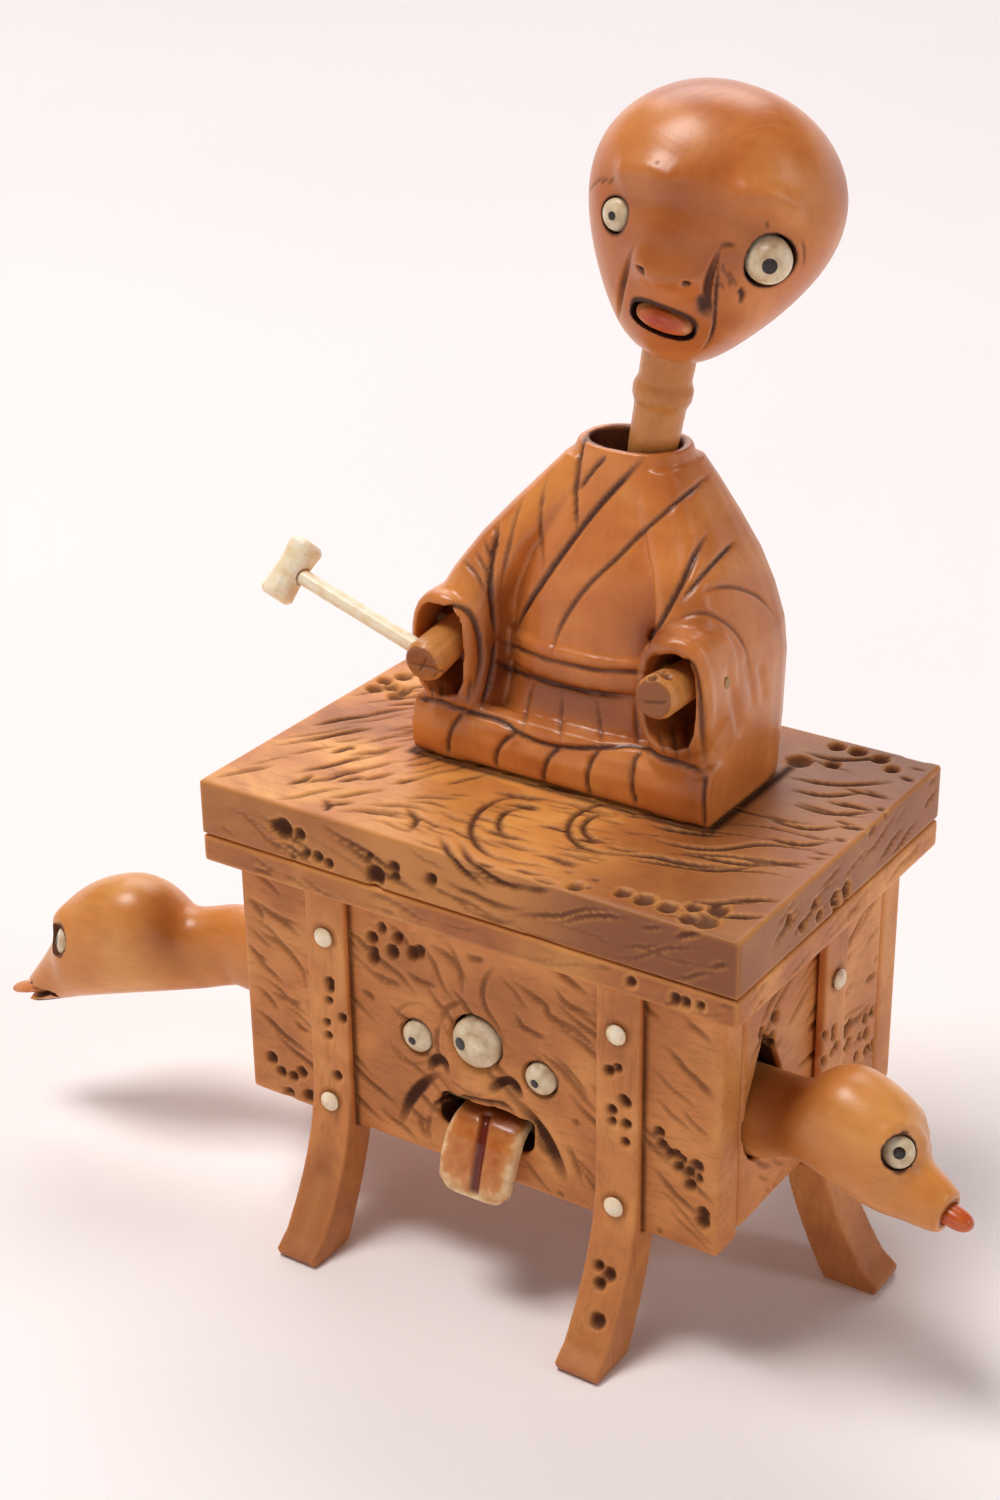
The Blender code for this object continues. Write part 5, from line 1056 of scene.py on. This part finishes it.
def carve_lid():
    low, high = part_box("lid_board")
    piece = block("carved_lid", low, high)
    fine_mesh(piece, 0.33, 3)
    bench = Bench(piece)
    top = face_of("lid_board", "top")
    for part, *gouge in LID_TOP_GOUGES:
        comb = [(across - part[0], up - part[1], angle) for across, up, angle in LID_GRAIN]
        comb_gouges(bench, part_of(top, *part), comb, *gouge)
    bench.grooves(LID_VIEW, LID_WAVES, 1.0, 0.4, 0.85, 0.3)
    bench.pits(LID_VIEW, LID_HOLES, 2.3, 0.9, 0.75, 2)
    bench.pits(LID_VIEW, LID_WIDE_HOLES, 3.0, 0.9, 0.65, 3)
    comb_sides(bench, "lid_board", LID_SIDE_GOUGES, "front")
    bench.grooves(LID_VIEW, LID_EDGE_LINES, 0.5, 0.15, 0.3, 0.35)
    bench.pits(LID_VIEW, LID_EDGE_HOLES, 1.6, 0.9, 0.85, 4)
    bench.pits(LID_VIEW, LID_EDGE_WIDE_HOLES, 2.7, 1.1, 0.9, 5)
    comb_sides(bench, "lid_board", LID_SIDE_GOUGES, "right")
    bench.pits(LID_VIEW, LID_END_HOLES, 1.7, 0.9, 0.75, 6)
    comb_sides(bench, "lid_board", LID_SIDE_GOUGES, "left", "back")
    # Painted shade: the lid's front face is kept darker than its top.
    bench.grime += 0.6 * front_face(bench, low)
    across = (bench.places[:, 0] - low.x) / MM
    bench.grime += 0.75 * np.clip((across - 44) / 22, 0, 1)
    # A painted highlight on the middle of the lid's top, kept off the gouges.
    middle = bench.seen(LID_VIEW, [LID_HIGHLIGHT_MIDDLE])
    highlight_share = np.exp(-(np.linalg.norm(bench.places - middle[0], axis=1) / (13 * MM)) ** 2)
    bench.rub_and_highlight = 1.7 * highlight_share * (1 - np.clip(1.4 * bench.dye, 0, 1))
    # Painted shade: a dark line on the lid round the foot of the robe.
    robe_low, robe_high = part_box("robe")
    foot = [(robe_low.x, robe_high.y, high.z), (robe_low.x, robe_low.y, high.z),
            (robe_high.x, robe_low.y, high.z), (robe_high.x, robe_high.y, high.z)]
    near, off, _ = bench.measure([np.array(corner) for corner in foot], 2 * MM)
    bench.dye[near] = np.maximum(bench.dye[near], np.clip(1.1 - off / (0.9 * MM), 0, 1))
    bench.finish()
    dress(piece, "chest", LID_WOOD, "chest_wood", "lid_board")


def carve_under_board():
    low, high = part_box("lid_under_board")
    piece = block("carved_lid_rim", low, high)
    fine_mesh(piece, 0.36, 3)
    bench = Bench(piece)
    comb_sides(bench, "lid_under_board", RIM_SIDE_GOUGES, "front", "right", "left", "back")
    bench.pits(LID_VIEW, RIM_HOLES, 1.4, 0.8, 0.9, 7)
    # Painted shade: the rim's front face is kept darker.
    bench.grime += 0.45 * front_face(bench, low)
    bench.finish()
    dress(piece, "chest", LID_WOOD, "chest_wood", "lid_under_board")


def ring_round(centre, look, radius, count=20):
    """A closed path round an axis, in metres."""
    look = Vector(look).normalized()
    side = look.orthogonal().normalized()
    ring = oval(centre, side, look.cross(side), radius, radius, 2.0, count)
    return [np.array(place) for place in (*ring, ring[0])]


def carve_front():
    bench = take("front_wall", "carved_front", 0.30, 2)
    front_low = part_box("front_wall")[0]
    bench.swells(FACE_VIEW, FACE_RISES)
    bench.gouges(FACE_VIEW, FACE_GOUGES)
    bench.pits(FACE_VIEW, TEETH, 0.75, 0.5, 0.8, 31)
    bench.pits(FACE_VIEW, FACE_HOLES, 1.75, 1.0, 0.85, 32)
    for node, spare in (("left_eye", 0.2), ("right_eye", 0.2), ("centre_eye", 0.3)):
        low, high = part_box(node)
        centre = middle_of(node)
        centre.y = front_low.y / MM
        bench.groove(ring_round(centre, (0, -1, 0), (high.x - low.x) / MM / 2 + spare), 0.7, 0.12, 0.8, 0)
    comb_gouges(bench, face_of("front_wall", "front"), FACE_GRAIN, 2.6, 10.0, 33, 0.95, 0.36, 0.52)
    # Painted shade inside the chest: the board's inner face is dark all over.
    inner = (bench.places[:, 1] > front_low.y + 0.7 * MM) & (np.abs(bench.places[:, 0] - CHEST_X) < 30 * MM)
    bench.dye[inner] = 0.95
    # Painted shade: dark lines on the face along the edges of the two front legs.
    wall = bench.places[:, 1] < front_low.y + 0.5 * MM
    for label in ("front_left_leg", "front_right_leg"):
        low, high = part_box(label)
        off = np.abs(np.abs(bench.places[:, 0] - (low.x + high.x) / 2) - (high.x - low.x) / 2)
        bench.dye[wall] = np.maximum(bench.dye[wall], 0.8 * np.clip(1.2 - off[wall] / (0.4 * MM), 0, 1))
    bench.soils_and_shades(FACE_VIEW, FACE_SOILS)
    bench.finish()
    dress(bench.piece, "chest", CHEST_X_GRAIN, "chest_wood", "front_wall")


def carve_other_walls():
    bench = take("right_wall", "carved_right_end", 0.32, 2)
    comb_gouges(bench, face_of("right_wall", "right"), [(4, 26, 30), (30, 28, 26), (32, 12, -8), (6, 6, -40)],
                1.9, 9.0, 41, 0.9, 0.34, 0.45)
    bench.pits(RIGHT_HEAD_VIEW, END_WALL_HOLES, 1.5, 0.8, 0.8, 42)
    low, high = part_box("right_wall")
    # Painted shade inside the chest: the end wall's inner face is dark all over.
    inner = (bench.places[:, 0] < high.x - 0.7 * MM) & (np.abs(bench.places[:, 1]) < 25 * MM)
    bench.dye[inner] = 0.95
    bench.finish()
    dress(bench.piece, "chest", CHEST_Y_GRAIN, "chest_wood", "right_wall")
    for node, name, side, material, comb in (
            ("back_wall", "carved_back", "back", CHEST_X_GRAIN, [(8, 26, -24), (30, 14, -40), (60, 24, -20)]),
            ("left_wall", "carved_left_end", "left", CHEST_Y_GRAIN, [(8, 26, 28), (30, 10, 8)]),
            ("bottom_board", "chest_bottom", "front", CHEST_X_GRAIN, [(10, 1, 0)])):
        bench = take(node, name, 0.42, 2)
        comb_gouges(bench, face_of(node, side), comb, 2.4, 8.0, len(name), 0.7, 0.3, 0.42)
        bench.finish()
        dress(bench.piece, "chest", material, "chest_wood", node)


def carve_legs():
    for label in LEGS:
        bench = take(label + "_leg", label + "_sabre_leg", 0.30, 7)
        height = bench.places[:, 2] / MM
        bench.grime += 0.45 * np.clip((17 - height) / 17, 0, 1)
        if label.startswith("front"):
            bench.pits(FACE_VIEW, STRIP_HOLES, 1.4, 0.9, 0.9, 51)
            bench.pits(WHOLE_VIEW, LEG_HOLES, 1.9, 1.0, 0.85, 53)
        if label == "front_left":
            bench.soil_and_shade(bench.seen(FACE_VIEW, LEG_WEAR), 4.0, 0.6)
            bench.scratch(bench.seen(FACE_VIEW, LEG_WEAR[1:]), 4.0, 0.9)
        if label == "right":
            bench.pits(RIGHT_HEAD_VIEW, END_STRIP_HOLES, 1.25, 0.8, 0.85, 52)
        for level in ("upper", "lower"):
            low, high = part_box(f"{label}_{level}_peg")
            outward = min(range(2), key=lambda way: (high - low)[way])
            look = Vector([float(way == outward) for way in range(3)])
            radius = max(high - low) / MM / 2
            bench.groove(ring_round(middle_of(f"{label}_{level}_peg"), look, radius), 1.5, 0.0, 0.35, 0)
        bench.finish()
        dress(bench.piece, "chest", CHEST_Z_GRAIN, "chest_wood", label + "_leg")


def set_pegs():
    """The twelve bone pegs: a low dome on a short shank."""
    for node in [f"{label}_{level}_peg" for label in LEGS for level in ("upper", "lower")]:
        low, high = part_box(node)
        size = (high - low) / MM
        way = min(range(2), key=lambda at: size[at])
        sign = math.copysign(1, (low + high)[way] - 2 * (CHEST_X if way == 0 else 0))
        look = Vector([sign if at == way else 0.0 for at in range(3)])
        inner = middle_of(node) - look * size[way] / 2
        radius = max(size[1 - way], size.z) / 2 * 1.14
        profile = [(0, radius * 0.5), (0.1, radius * 0.6)]
        profile += [(size[way] - step, radius * share) for step, share in PEG_DOME]
        peg = turned(node + "_bone", profile, inner, look, 16, 1)
        soften(peg, 60)
        dress(peg, "chest", PEG_BONE, "bone", node)


# Eyes and tongues

def set_pupil(eye, at, look, radius):
    """A horn disc let into an eye, just proud of it."""
    tree = BVHTree.FromObject(eye, bpy.context.evaluated_depsgraph_get())
    hit, outward = tree.ray_cast((Vector(at) + Vector(look) * 6) * MM, -Vector(look))[:2]
    if hit is None:
        return
    pupil = turned("pupil", [(-0.35, radius), (0.02, radius), (0.07, radius * 0.75), (0.09, radius * 0.3)],
                   hit / MM, outward, 20)
    pupil.data.materials.append(HORN)
    eye.data.materials.append(BONE)
    join(eye, pupil)


def seen_on(piece, view, place):
    """Where a sight line meets a piece, in millimetres."""
    left, top, scale = view
    tree = BVHTree.FromObject(piece, bpy.context.evaluated_depsgraph_get())
    hit = tree.ray_cast(CAMERA_PLACE, sight(left + place[0] * scale, top + place[1] * scale))[0]
    return hit / MM if hit else None


def button_eye(name, face, look, size, depth, dome, pupil_at, pupil_radius):
    """A bone eye with a domed front and a horn pupil off its middle."""
    radius = size / 2
    profile = [(-depth, radius * 0.96), (-depth + 0.1, radius), (-0.15, radius), (0.0, radius * 0.97),
               (dome * 0.5, radius * 0.82), (dome * 0.86, radius * 0.5), (dome, radius * 0.14)]
    eye = turned(name, profile, face, look, 28, 1)
    set_pupil(eye, Vector(face) + Vector(pupil_at), look, pupil_radius)
    soften(eye, 50)
    return eye


def set_chest_eyes():
    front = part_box("front_wall")[0].y / MM
    for node, pupil_at in (("left_eye", (-0.25, 0, -0.3)), ("right_eye", (-0.35, 0, -0.3))):
        low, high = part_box(node)
        place = middle_of(node)
        place.y = front
        eye = button_eye(node + "_bone", place, (0, -1, 0), (high.x - low.x) / MM, (high.y / MM - front),
                         front - low.y / MM, pupil_at, 0.55)
        dress(eye, "chest", BONE, "bone", node)
    low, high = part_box("centre_eye")
    radius = (high.x - low.x) / MM / 2
    place = Vector((middle_of("centre_eye").x, front, middle_of("centre_eye").z))
    back = high.y / MM - front
    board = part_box("front_wall")[1].y / MM - front
    dome = front - low.y / MM
    profile = [(-back, 1.25), (-back + 0.1, 1.3), (-board - 0.05, 1.3), (-board, radius * 0.98),
               (-board + 0.2, radius), (-0.2, radius)]
    profile += [(dome * share, radius * width) for share, width in CENTRE_EYE_DOME]
    eye = turned("centre_eye_bone", profile, place, (0, -1, 0), 32, 1)
    set_pupil(eye, place + Vector((-1.4, 0, 0.15)), Vector((0, -1, 0)), 0.82)
    soften(eye, 50)
    dress(eye, "centre_eye", BONE, "bone", "centre_eye")


def carve_chest_tongue():
    bench = take("chest_tongue", "dyed_tongue", 0.2, 16)
    bench.grooves(FACE_VIEW, [TONGUE_GROOVE], 1.5, 0.55, 1.0, 0.04)
    bench.finish()
    low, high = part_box("chest_tongue")
    places = points_of(bench.piece)[0]
    inward = np.minimum(places[:, 0] - low.x, high.x - places[:, 0]) / MM
    above_tip = (places[:, 2] - low.z) / MM
    # Painted shade on the tongue's top, where it goes in under the face.
    root_shade = np.clip(1 - (high.z - places[:, 2]) / MM / 2.6, 0, 1)
    set_level(bench.piece, "stain_and_shade", np.maximum(bench.dye, root_shade * 1.2))
    # The dye thins towards the tongue's sides and tip: a pale rim that is partly thin dye and partly a
    # painted highlight.
    thick = np.clip(np.minimum(inward * 1.2, above_tip * 0.6) / 2.6, 0, 1)
    set_level(bench.piece, "tint", 0.02 + 0.42 * thick)
    dress(bench.piece, "chest_tongue", TONGUE_BONE, "stained_bone", "chest_tongue")


# The long-necked heads

def creature_axes(shape):
    side = shape["side"]
    drop, turn = math.radians(shape["droop"]), math.radians(shape["turn"])
    forward = Vector((side * math.cos(drop) * math.cos(turn), -math.cos(drop) * math.sin(turn),
                      -math.sin(drop)))
    sideways = Vector((0, 0, 1)).cross(forward).normalized()
    return forward, sideways, forward.cross(sideways)


def section_at(table, distance):
    """Rise, half height and half width of a long-necked head at a distance."""
    for before, after in zip(table, table[1:]):
        if before[0] <= distance <= after[0]:
            part = (distance - before[0]) / (after[0] - before[0])
            return [before[at] * (1 - part) + after[at] * part for at in (1, 2, 3)]
    return table[-1][1:]


def carve_creature(label, shape):
    side, table = shape["side"], shape["head"]
    forward, sideways, up = creature_axes(shape)
    along, across, upright = Vector((side, 0, 0)), Vector((0, side, 0)), Vector((0, 0, 1))
    axis = Vector((CHEST_X / MM, NECK_Y, shape["neck_z"]))
    bend = axis + along * shape["bend"]
    reach = shape["bend"] - shape["neck_in"]
    rings = [oval(axis + along * (shape["neck_in"] + step), across, upright, NECK_WIDE / 2, NECK_HIGH / 2)
             for step in (0, 0.4, reach * 0.5, reach - 2.0)]
    for distance, rise, half_up, half_side in table:
        rings.append(oval(bend + forward * distance + up * rise, sideways, up, half_side, half_up, 2.1))
    rings.append(oval(bend + forward * (table[-1][0] + 0.05) + up * table[-1][1], sideways, up,
                      table[-1][3] * 0.9, table[-1][2] * 0.9, 2.1))
    piece = drawn_out(label + "_long_neck", rings, 2)
    beak = bend + forward * table[-1][0] + up * table[-1][1]
    wide, high = shape["mouth"]
    cutters = [drawn_out("mouth", [oval(beak + forward * step + up * rise, sideways, up, wide, gape, 2.4, 20)
                                   for step, rise, gape in shape["slit"]])]
    eyes = []
    for eye_label, sign in (("front", -side), ("back", side)):
        distance, up_share, side_share, ahead, aside, above = shape[eye_label + "_eye"]
        rise, half_up, half_side = section_at(table, distance)
        look = (forward * ahead + sideways * sign * aside + up * above).normalized()
        face = (bend + forward * distance + up * (rise + half_up * up_share)
                + sideways * sign * half_side * side_share)
        face -= look * shape["sunk"][eye_label]
        bore = [(-1.5, CREATURE_SOCKET), (CREATURE_EYE, CREATURE_SOCKET)]
        cutters.append(turned("socket", bore, face, look, 28))
        eyes.append((f"{label}_monster_{eye_label}_eye", face, look))
    fine_mesh(piece, 0.25, 3)
    bench = Bench(piece)
    for name, face, look in eyes:
        bench.groove(ring_round(face, look, CREATURE_SOCKET), 0.8, 0.0, 0.95, 0)
        bench.swell(ring_round(face, look, CREATURE_EYE / 2 + 0.9), 1.2, 0.16)
        eye = button_eye(name + "_bone", face, look, CREATURE_EYE, 1.2, 0.6, (0, 0, 0), 0.7)
        dress(eye, "monsters", BONE, "bone", name)
    mouth_ring = oval(beak, sideways, up, min(wide, table[-1][3]), high, 2.4, 20)
    bench.groove([np.array(place) for place in (*mouth_ring, mouth_ring[0])], 0.7, 0.0, 0.8, 0)
    view, smears, brow = CREATURE_MARKS[label]
    bench.soils_and_shades(view, smears)
    bench.swells(view, brow)
    bench.finish()
    cut(piece, *cutters)
    soften(piece, 50)
    # Painted shade in the mouth's hollow and on the walls of the eye sockets.
    half_gape, half_wide, tongue_tint = shape["hollow"]
    places = points_of(piece)[0] / MM - np.array(beak)
    inside = ((np.abs(places @ np.array(up)) < half_gape) & (np.abs(places @ np.array(sideways)) < half_wide)
              & (places @ np.array(forward) < -0.9) & (places @ np.array(forward) > -5.3))
    shade_inside(piece, inside, 0.92)
    for _, face, look in eyes:
        shade_socket(piece, face, look, CREATURE_SOCKET)
    dress(piece, "monsters", CREATURE_WOOD, "creature_boxwood", label + "_monster")

    wide, high = shape["tongue"]
    rings = [oval(beak + forward * step, sideways, up, wide * share, high * share, 2.2)
             for step, share in CREATURE_TONGUE_STAGES]
    tongue = drawn_out(label + "_red_tongue", rings, 1)
    soften(tongue, 60)
    set_level(tongue, "tint", np.full(len(tongue.data.vertices), tongue_tint))
    dress(tongue, "monsters", RED_BONE, "stained_bone", label + "_monster_tongue")


# The figure

def head_point(across, front, up):
    """A point on the figure's head, from shares of its half width, half depth and half height."""
    tilt = Matrix.Rotation(NECK_LEAN + math.radians(HEAD_TILT), 3, "Y")
    turn = tilt @ Matrix.Rotation(math.radians(HEAD_YAW), 3, "Z")
    chin = NECK_PIVOT + Matrix.Rotation(NECK_LEAN, 3, "Y") @ Vector((0, 0, CHIN_FROM_PIVOT))
    middle = chin + tilt @ Vector((0, 0, HEAD_HIGH / 2))
    local = Vector((across * HEAD_WIDTH / 2, -front * HEAD_DEPTH / 2, up * HEAD_HIGH / 2))
    return middle + turn @ local, turn


def eye_place(place_deg, height, look_deg):
    angle = math.radians(place_deg)
    at, turn = head_point(math.sin(angle) * 0.93, math.cos(angle) * 0.93, height)
    angle = math.radians(look_deg)
    out = turn @ Vector((math.sin(angle) * HEAD_DEPTH, -math.cos(angle) * HEAD_WIDTH, 0.0))
    return at, out.normalized()


def carve_head():
    turn = head_point(0, 0, 0)[1]
    side, back, up = (turn @ Vector(way) for way in ((1, 0, 0), (0, 1, 0), (0, 0, 1)))
    forward = -back
    rings = [oval(head_point(0, (front - rear) / 2, height)[0], side, back, half * HEAD_WIDTH / 2,
                  (front + rear) / 2 * HEAD_DEPTH / 2, 2.15) for height, half, front, rear in HEAD_PROFILE]
    piece = drawn_out("egg_head", rings, 2)
    neck_way = Matrix.Rotation(NECK_LEAN, 3, "Y") @ Vector((0, 0, 1))
    mouth_at = head_point(0.0, 0.84, -0.52)[0]
    fixed_at, fixed_look = eye_place(*FIXED_EYE_PLACE)
    pop_at, pop_look = eye_place(*POP_EYE_PLACE)
    fine_mesh(piece, 0.23, 1)

    bench = Bench(piece)
    bench.swells(HEAD_VIEW, HEAD_RISES)
    bench.gouges(HEAD_VIEW, HEAD_GOUGES)
    for place, size in NOSTRILS:
        bench.pits(HEAD_VIEW, [place], size, 0.9, 0.95, 63)
    bench.soils_and_shades(HEAD_VIEW, HEAD_STAINS_AND_SHADE)
    for path in HEAD_SCRATCHES:
        bench.scratch(bench.seen(HEAD_VIEW, path), 0.6, 0.9)
    lips = oval(mouth_at + forward * 0.4, side, up, MOUTH_HALF[0] + 0.1, MOUTH_HALF[1] + 0.1, 2.6, 32)
    bench.groove(bench.on_skin([*lips, lips[0]]), 0.95, 0.1, 0.95, 0)
    for at, look, radius, wide in ((fixed_at, fixed_look, FIXED_SOCKET, 0.6),
                                   (pop_at, pop_look, POP_SOCKET, 0.35)):
        bench.groove(bench.on_skin(ring_round(at + look * 0.3, look, radius, 28)), wide, 0.1, 0.6, 0)
    bench.finish()
    neck_bore = NECK_RADIUS + SEAT
    neck_end = NECK_PIVOT + neck_way * (NECK_LENGTH - 3.0)
    mouth = [oval(mouth_at + forward * step, side, up, *MOUTH_HALF, 2.6, 28) for step in (-3.6, 4.0)]
    cut(piece, turned("socket", [(-2, neck_bore), (3.2, neck_bore)], neck_end, neck_way, 28),
        drawn_out("mouth", mouth),
        turned("socket", [(-1.6 - SEAT, FIXED_SOCKET), (4, FIXED_SOCKET)], fixed_at, fixed_look, 28),
        turned("socket", [(-7.5, POP_SOCKET), (6, POP_SOCKET)], pop_at, pop_look, 32))
    soften(piece, 50)
    # Painted shade inside the mouth and on the walls of the eye sockets.
    places = points_of(piece)[0] / MM - np.array(mouth_at)
    across = np.abs(places @ np.array(side)) / MOUTH_HALF[0]
    rise = np.abs(places @ np.array(up)) / MOUTH_HALF[1]
    inside = (across ** 2.6 + rise ** 2.6 < 1.08) & (np.abs(places @ np.array(forward)) < 5)
    shade_inside(piece, inside, 0.97)
    shade_socket(piece, fixed_at, fixed_look, FIXED_SOCKET)
    shade_socket(piece, pop_at, pop_look, POP_SOCKET)
    dress(piece, "figure_head", HEAD_WOOD, "robe_boxwood", "head")

    eye = button_eye("fixed_eye_bone", fixed_at, fixed_look, FIXED_EYE, 1.6, 0.6, (0, 0, 0), 0.5)
    dress(eye, "figure_head", BONE, "bone", "fixed_eye")
    profile = [(-6.6, 1.2), (-3.4, 1.2), (-3.2, 2.0), (-2.2, 2.5), (-0.9, POP_EYE / 2),
               (0.4, POP_EYE / 2 - 0.05), (1.5, 2.2), (2.15, 1.4), (2.4, 0.5)]
    eye = turned("popping_eye_bone", profile, pop_at, pop_look, 28, 1)
    at = seen_on(eye, HEAD_VIEW, POP_PUPIL)
    set_pupil(eye, at, (at - (pop_at - pop_look * 0.6)).normalized(), 0.85)
    soften(eye, 50)
    dress(eye, "popping_eye", BONE, "bone", "popping_eye")

    tongue = copy_of("mouth_tongue", "mouth_red_tongue")
    fine_mesh(tongue, 0.14, 3)
    places = points_of(tongue)[0] / MM - np.array(mouth_at)
    across, rise = places @ np.array(side) / MOUTH_HALF[0], places @ np.array(up) / MOUTH_HALF[1]
    set_level(tongue, "tint", 0.72 - 0.7 * np.clip(np.hypot(across, rise), 0, 1))
    dress(tongue, "mouth_tongue", RED_BONE, "stained_bone", "mouth_tongue")


def carve_neck():
    bench = take("neck", "turned_neck", 0.24, 5)
    bench.finish()
    dress(bench.piece, "figure_head", ARM_WOOD, "robe_boxwood", "neck")


def carve_robe():
    piece = copy_of("robe", "carved_robe")
    across, upright = (1, 0, 0), (0, 0, 1)
    for joint, cuff_rings in (("mallet_arm_swing", LEFT_CUFF), ("empty_arm_swing", RIGHT_CUFF)):
        pivot = Vector(JOINTS[joint]["pos_m"]) / MM
        middle = Vector((pivot.x, 0, pivot.z - 1.6))
        cuff = [oval(middle + Vector((0, y, 0)), across, upright, SLEEVE_MOUTH[0] + thick,
                     SLEEVE_MOUTH[1] + thick, 2.6) for y, thick in cuff_rings]
        grow(piece, drawn_out("cuff", cuff))
        mouth = [oval(middle + Vector((0, y, 0)), across, upright, *SLEEVE_MOUTH, 3.0) for y in (-8.0, 3.5)]
        cut(piece, drawn_out("mouth", mouth))
    for at, half_long, radius in SLEEVE_BACKS:
        rings = []
        for step in (-0.97, -0.8, -0.45, 0, 0.45, 0.8, 0.97):
            size = radius * math.sqrt(1 - step ** 2)
            rings.append(oval(Vector(at) + Vector((0, half_long * step, 0)), across, upright, size, size))
        grow(piece, drawn_out("sleeve_back", rings))
    fine_mesh(piece, 0.33, 2)
    bench = Bench(piece)
    bench.swells(ROBE_VIEW, ROBE_RISES)
    bench.gouges(ROBE_VIEW, ROBE_GOUGES)
    bench.soils_and_shades(ROBE_VIEW, ROBE_SHADES)
    height = (bench.places[:, 2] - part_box("robe")[0].z) / MM
    # Painted shade on the inner wall of the collar's opening.
    collar = bench.places[height > height.max() - 0.4].mean(0)
    away = bench.places - collar
    bore = ((height > height.max() - 12) & (np.linalg.norm(away[:, :2], axis=1) < 6 * MM)
            & ((away * bench.outward)[:, :2].sum(1) < 0))
    bench.dye[bore] = 0.85
    # Painted shade: a dark band on the robe's lowest edge, where it stands on the lid.
    outer = bench.outward[:, 2] < 0.5
    bench.dye = np.maximum(bench.dye, np.where(outer, 0.7 * np.clip(1 - height / 0.7, 0, 1), 0))
    bench.finish()
    dress(piece, "chest", ROBE_WOOD, "robe_boxwood", "robe")


def set_arm_pins():
    """The arms' pins, cut off flush with the sleeves."""
    for arm, way in (("mallet_arm", -1), ("empty_arm", 1)):
        pivot = Vector(JOINTS[arm + "_swing"]["pos_m"]) / MM
        pin = turned(arm + "_dowel", ARM_DOWEL, pivot, (way, 0, 0), 20)
        soften(pin, 40)
        dress(pin, "chest", INNER_WOOD, "inner_wood", arm + "_pin")


def carve_arms():
    for node, cracks in (("mallet_arm", MALLET_HAND_CRACKS), ("empty_arm", EMPTY_HAND_CRACKS)):
        bench = take(node, node + "_carved", 0.18, 4)
        # Painted shade on the flat end face of each hand.
        front = bench.places[:, 1].min()
        end = np.clip((front + 1.2 * MM - bench.places[:, 1]) / (0.9 * MM), 0, 1)
        bench.grime += 0.8 * end * (bench.outward[:, 1] < -0.6)
        bench.grooves(ROBE_VIEW, cracks, 0.4, 0.15, 0.6)
        if node == "empty_arm":
            bench.pits(ROBE_VIEW, EMPTY_HAND_NOTCH, 1.5, 0.6, 0.7, 71)
        bench.finish()
        dress(bench.piece, node, ARM_WOOD, "robe_boxwood", node)
    for node in ("mallet_head", "mallet_handle"):
        bench = take(node, node + "_bone", 0.14, 3)
        bench.finish()
        dress(bench.piece, "mallet_arm", HANDLE_BONE, "bone", node)


def paint_nodes():
    """The CAD nodes that stay as they are get their own wood."""
    record = {entry["node"]: entry["material_slot"] for entry in frame["record"]["subparts"]}
    finishes = {"inner_wood": INNER_WOOD, "bone": BONE, "stained_bone": RED_BONE,
                "chest_wood": CHEST_X_GRAIN, "robe_boxwood": ROBE_WOOD, "creature_boxwood": CREATURE_WOOD}
    for name, piece in frame["nodes"].items():
        piece.data.materials.clear()
        piece.data.materials.append(finishes[record[name]])


def main():
    set_camera()
    lay_floor()
    put_up_wall()
    set_lights()
    paint_nodes()
    carve_lid()
    carve_under_board()
    carve_front()
    carve_other_walls()
    carve_legs()
    set_pegs()
    set_chest_eyes()
    carve_chest_tongue()
    for label, shape in CREATURES.items():
        carve_creature(label, shape)
    carve_robe()
    carve_neck()
    carve_head()
    carve_arms()
    set_arm_pins()
    deselect()


main()
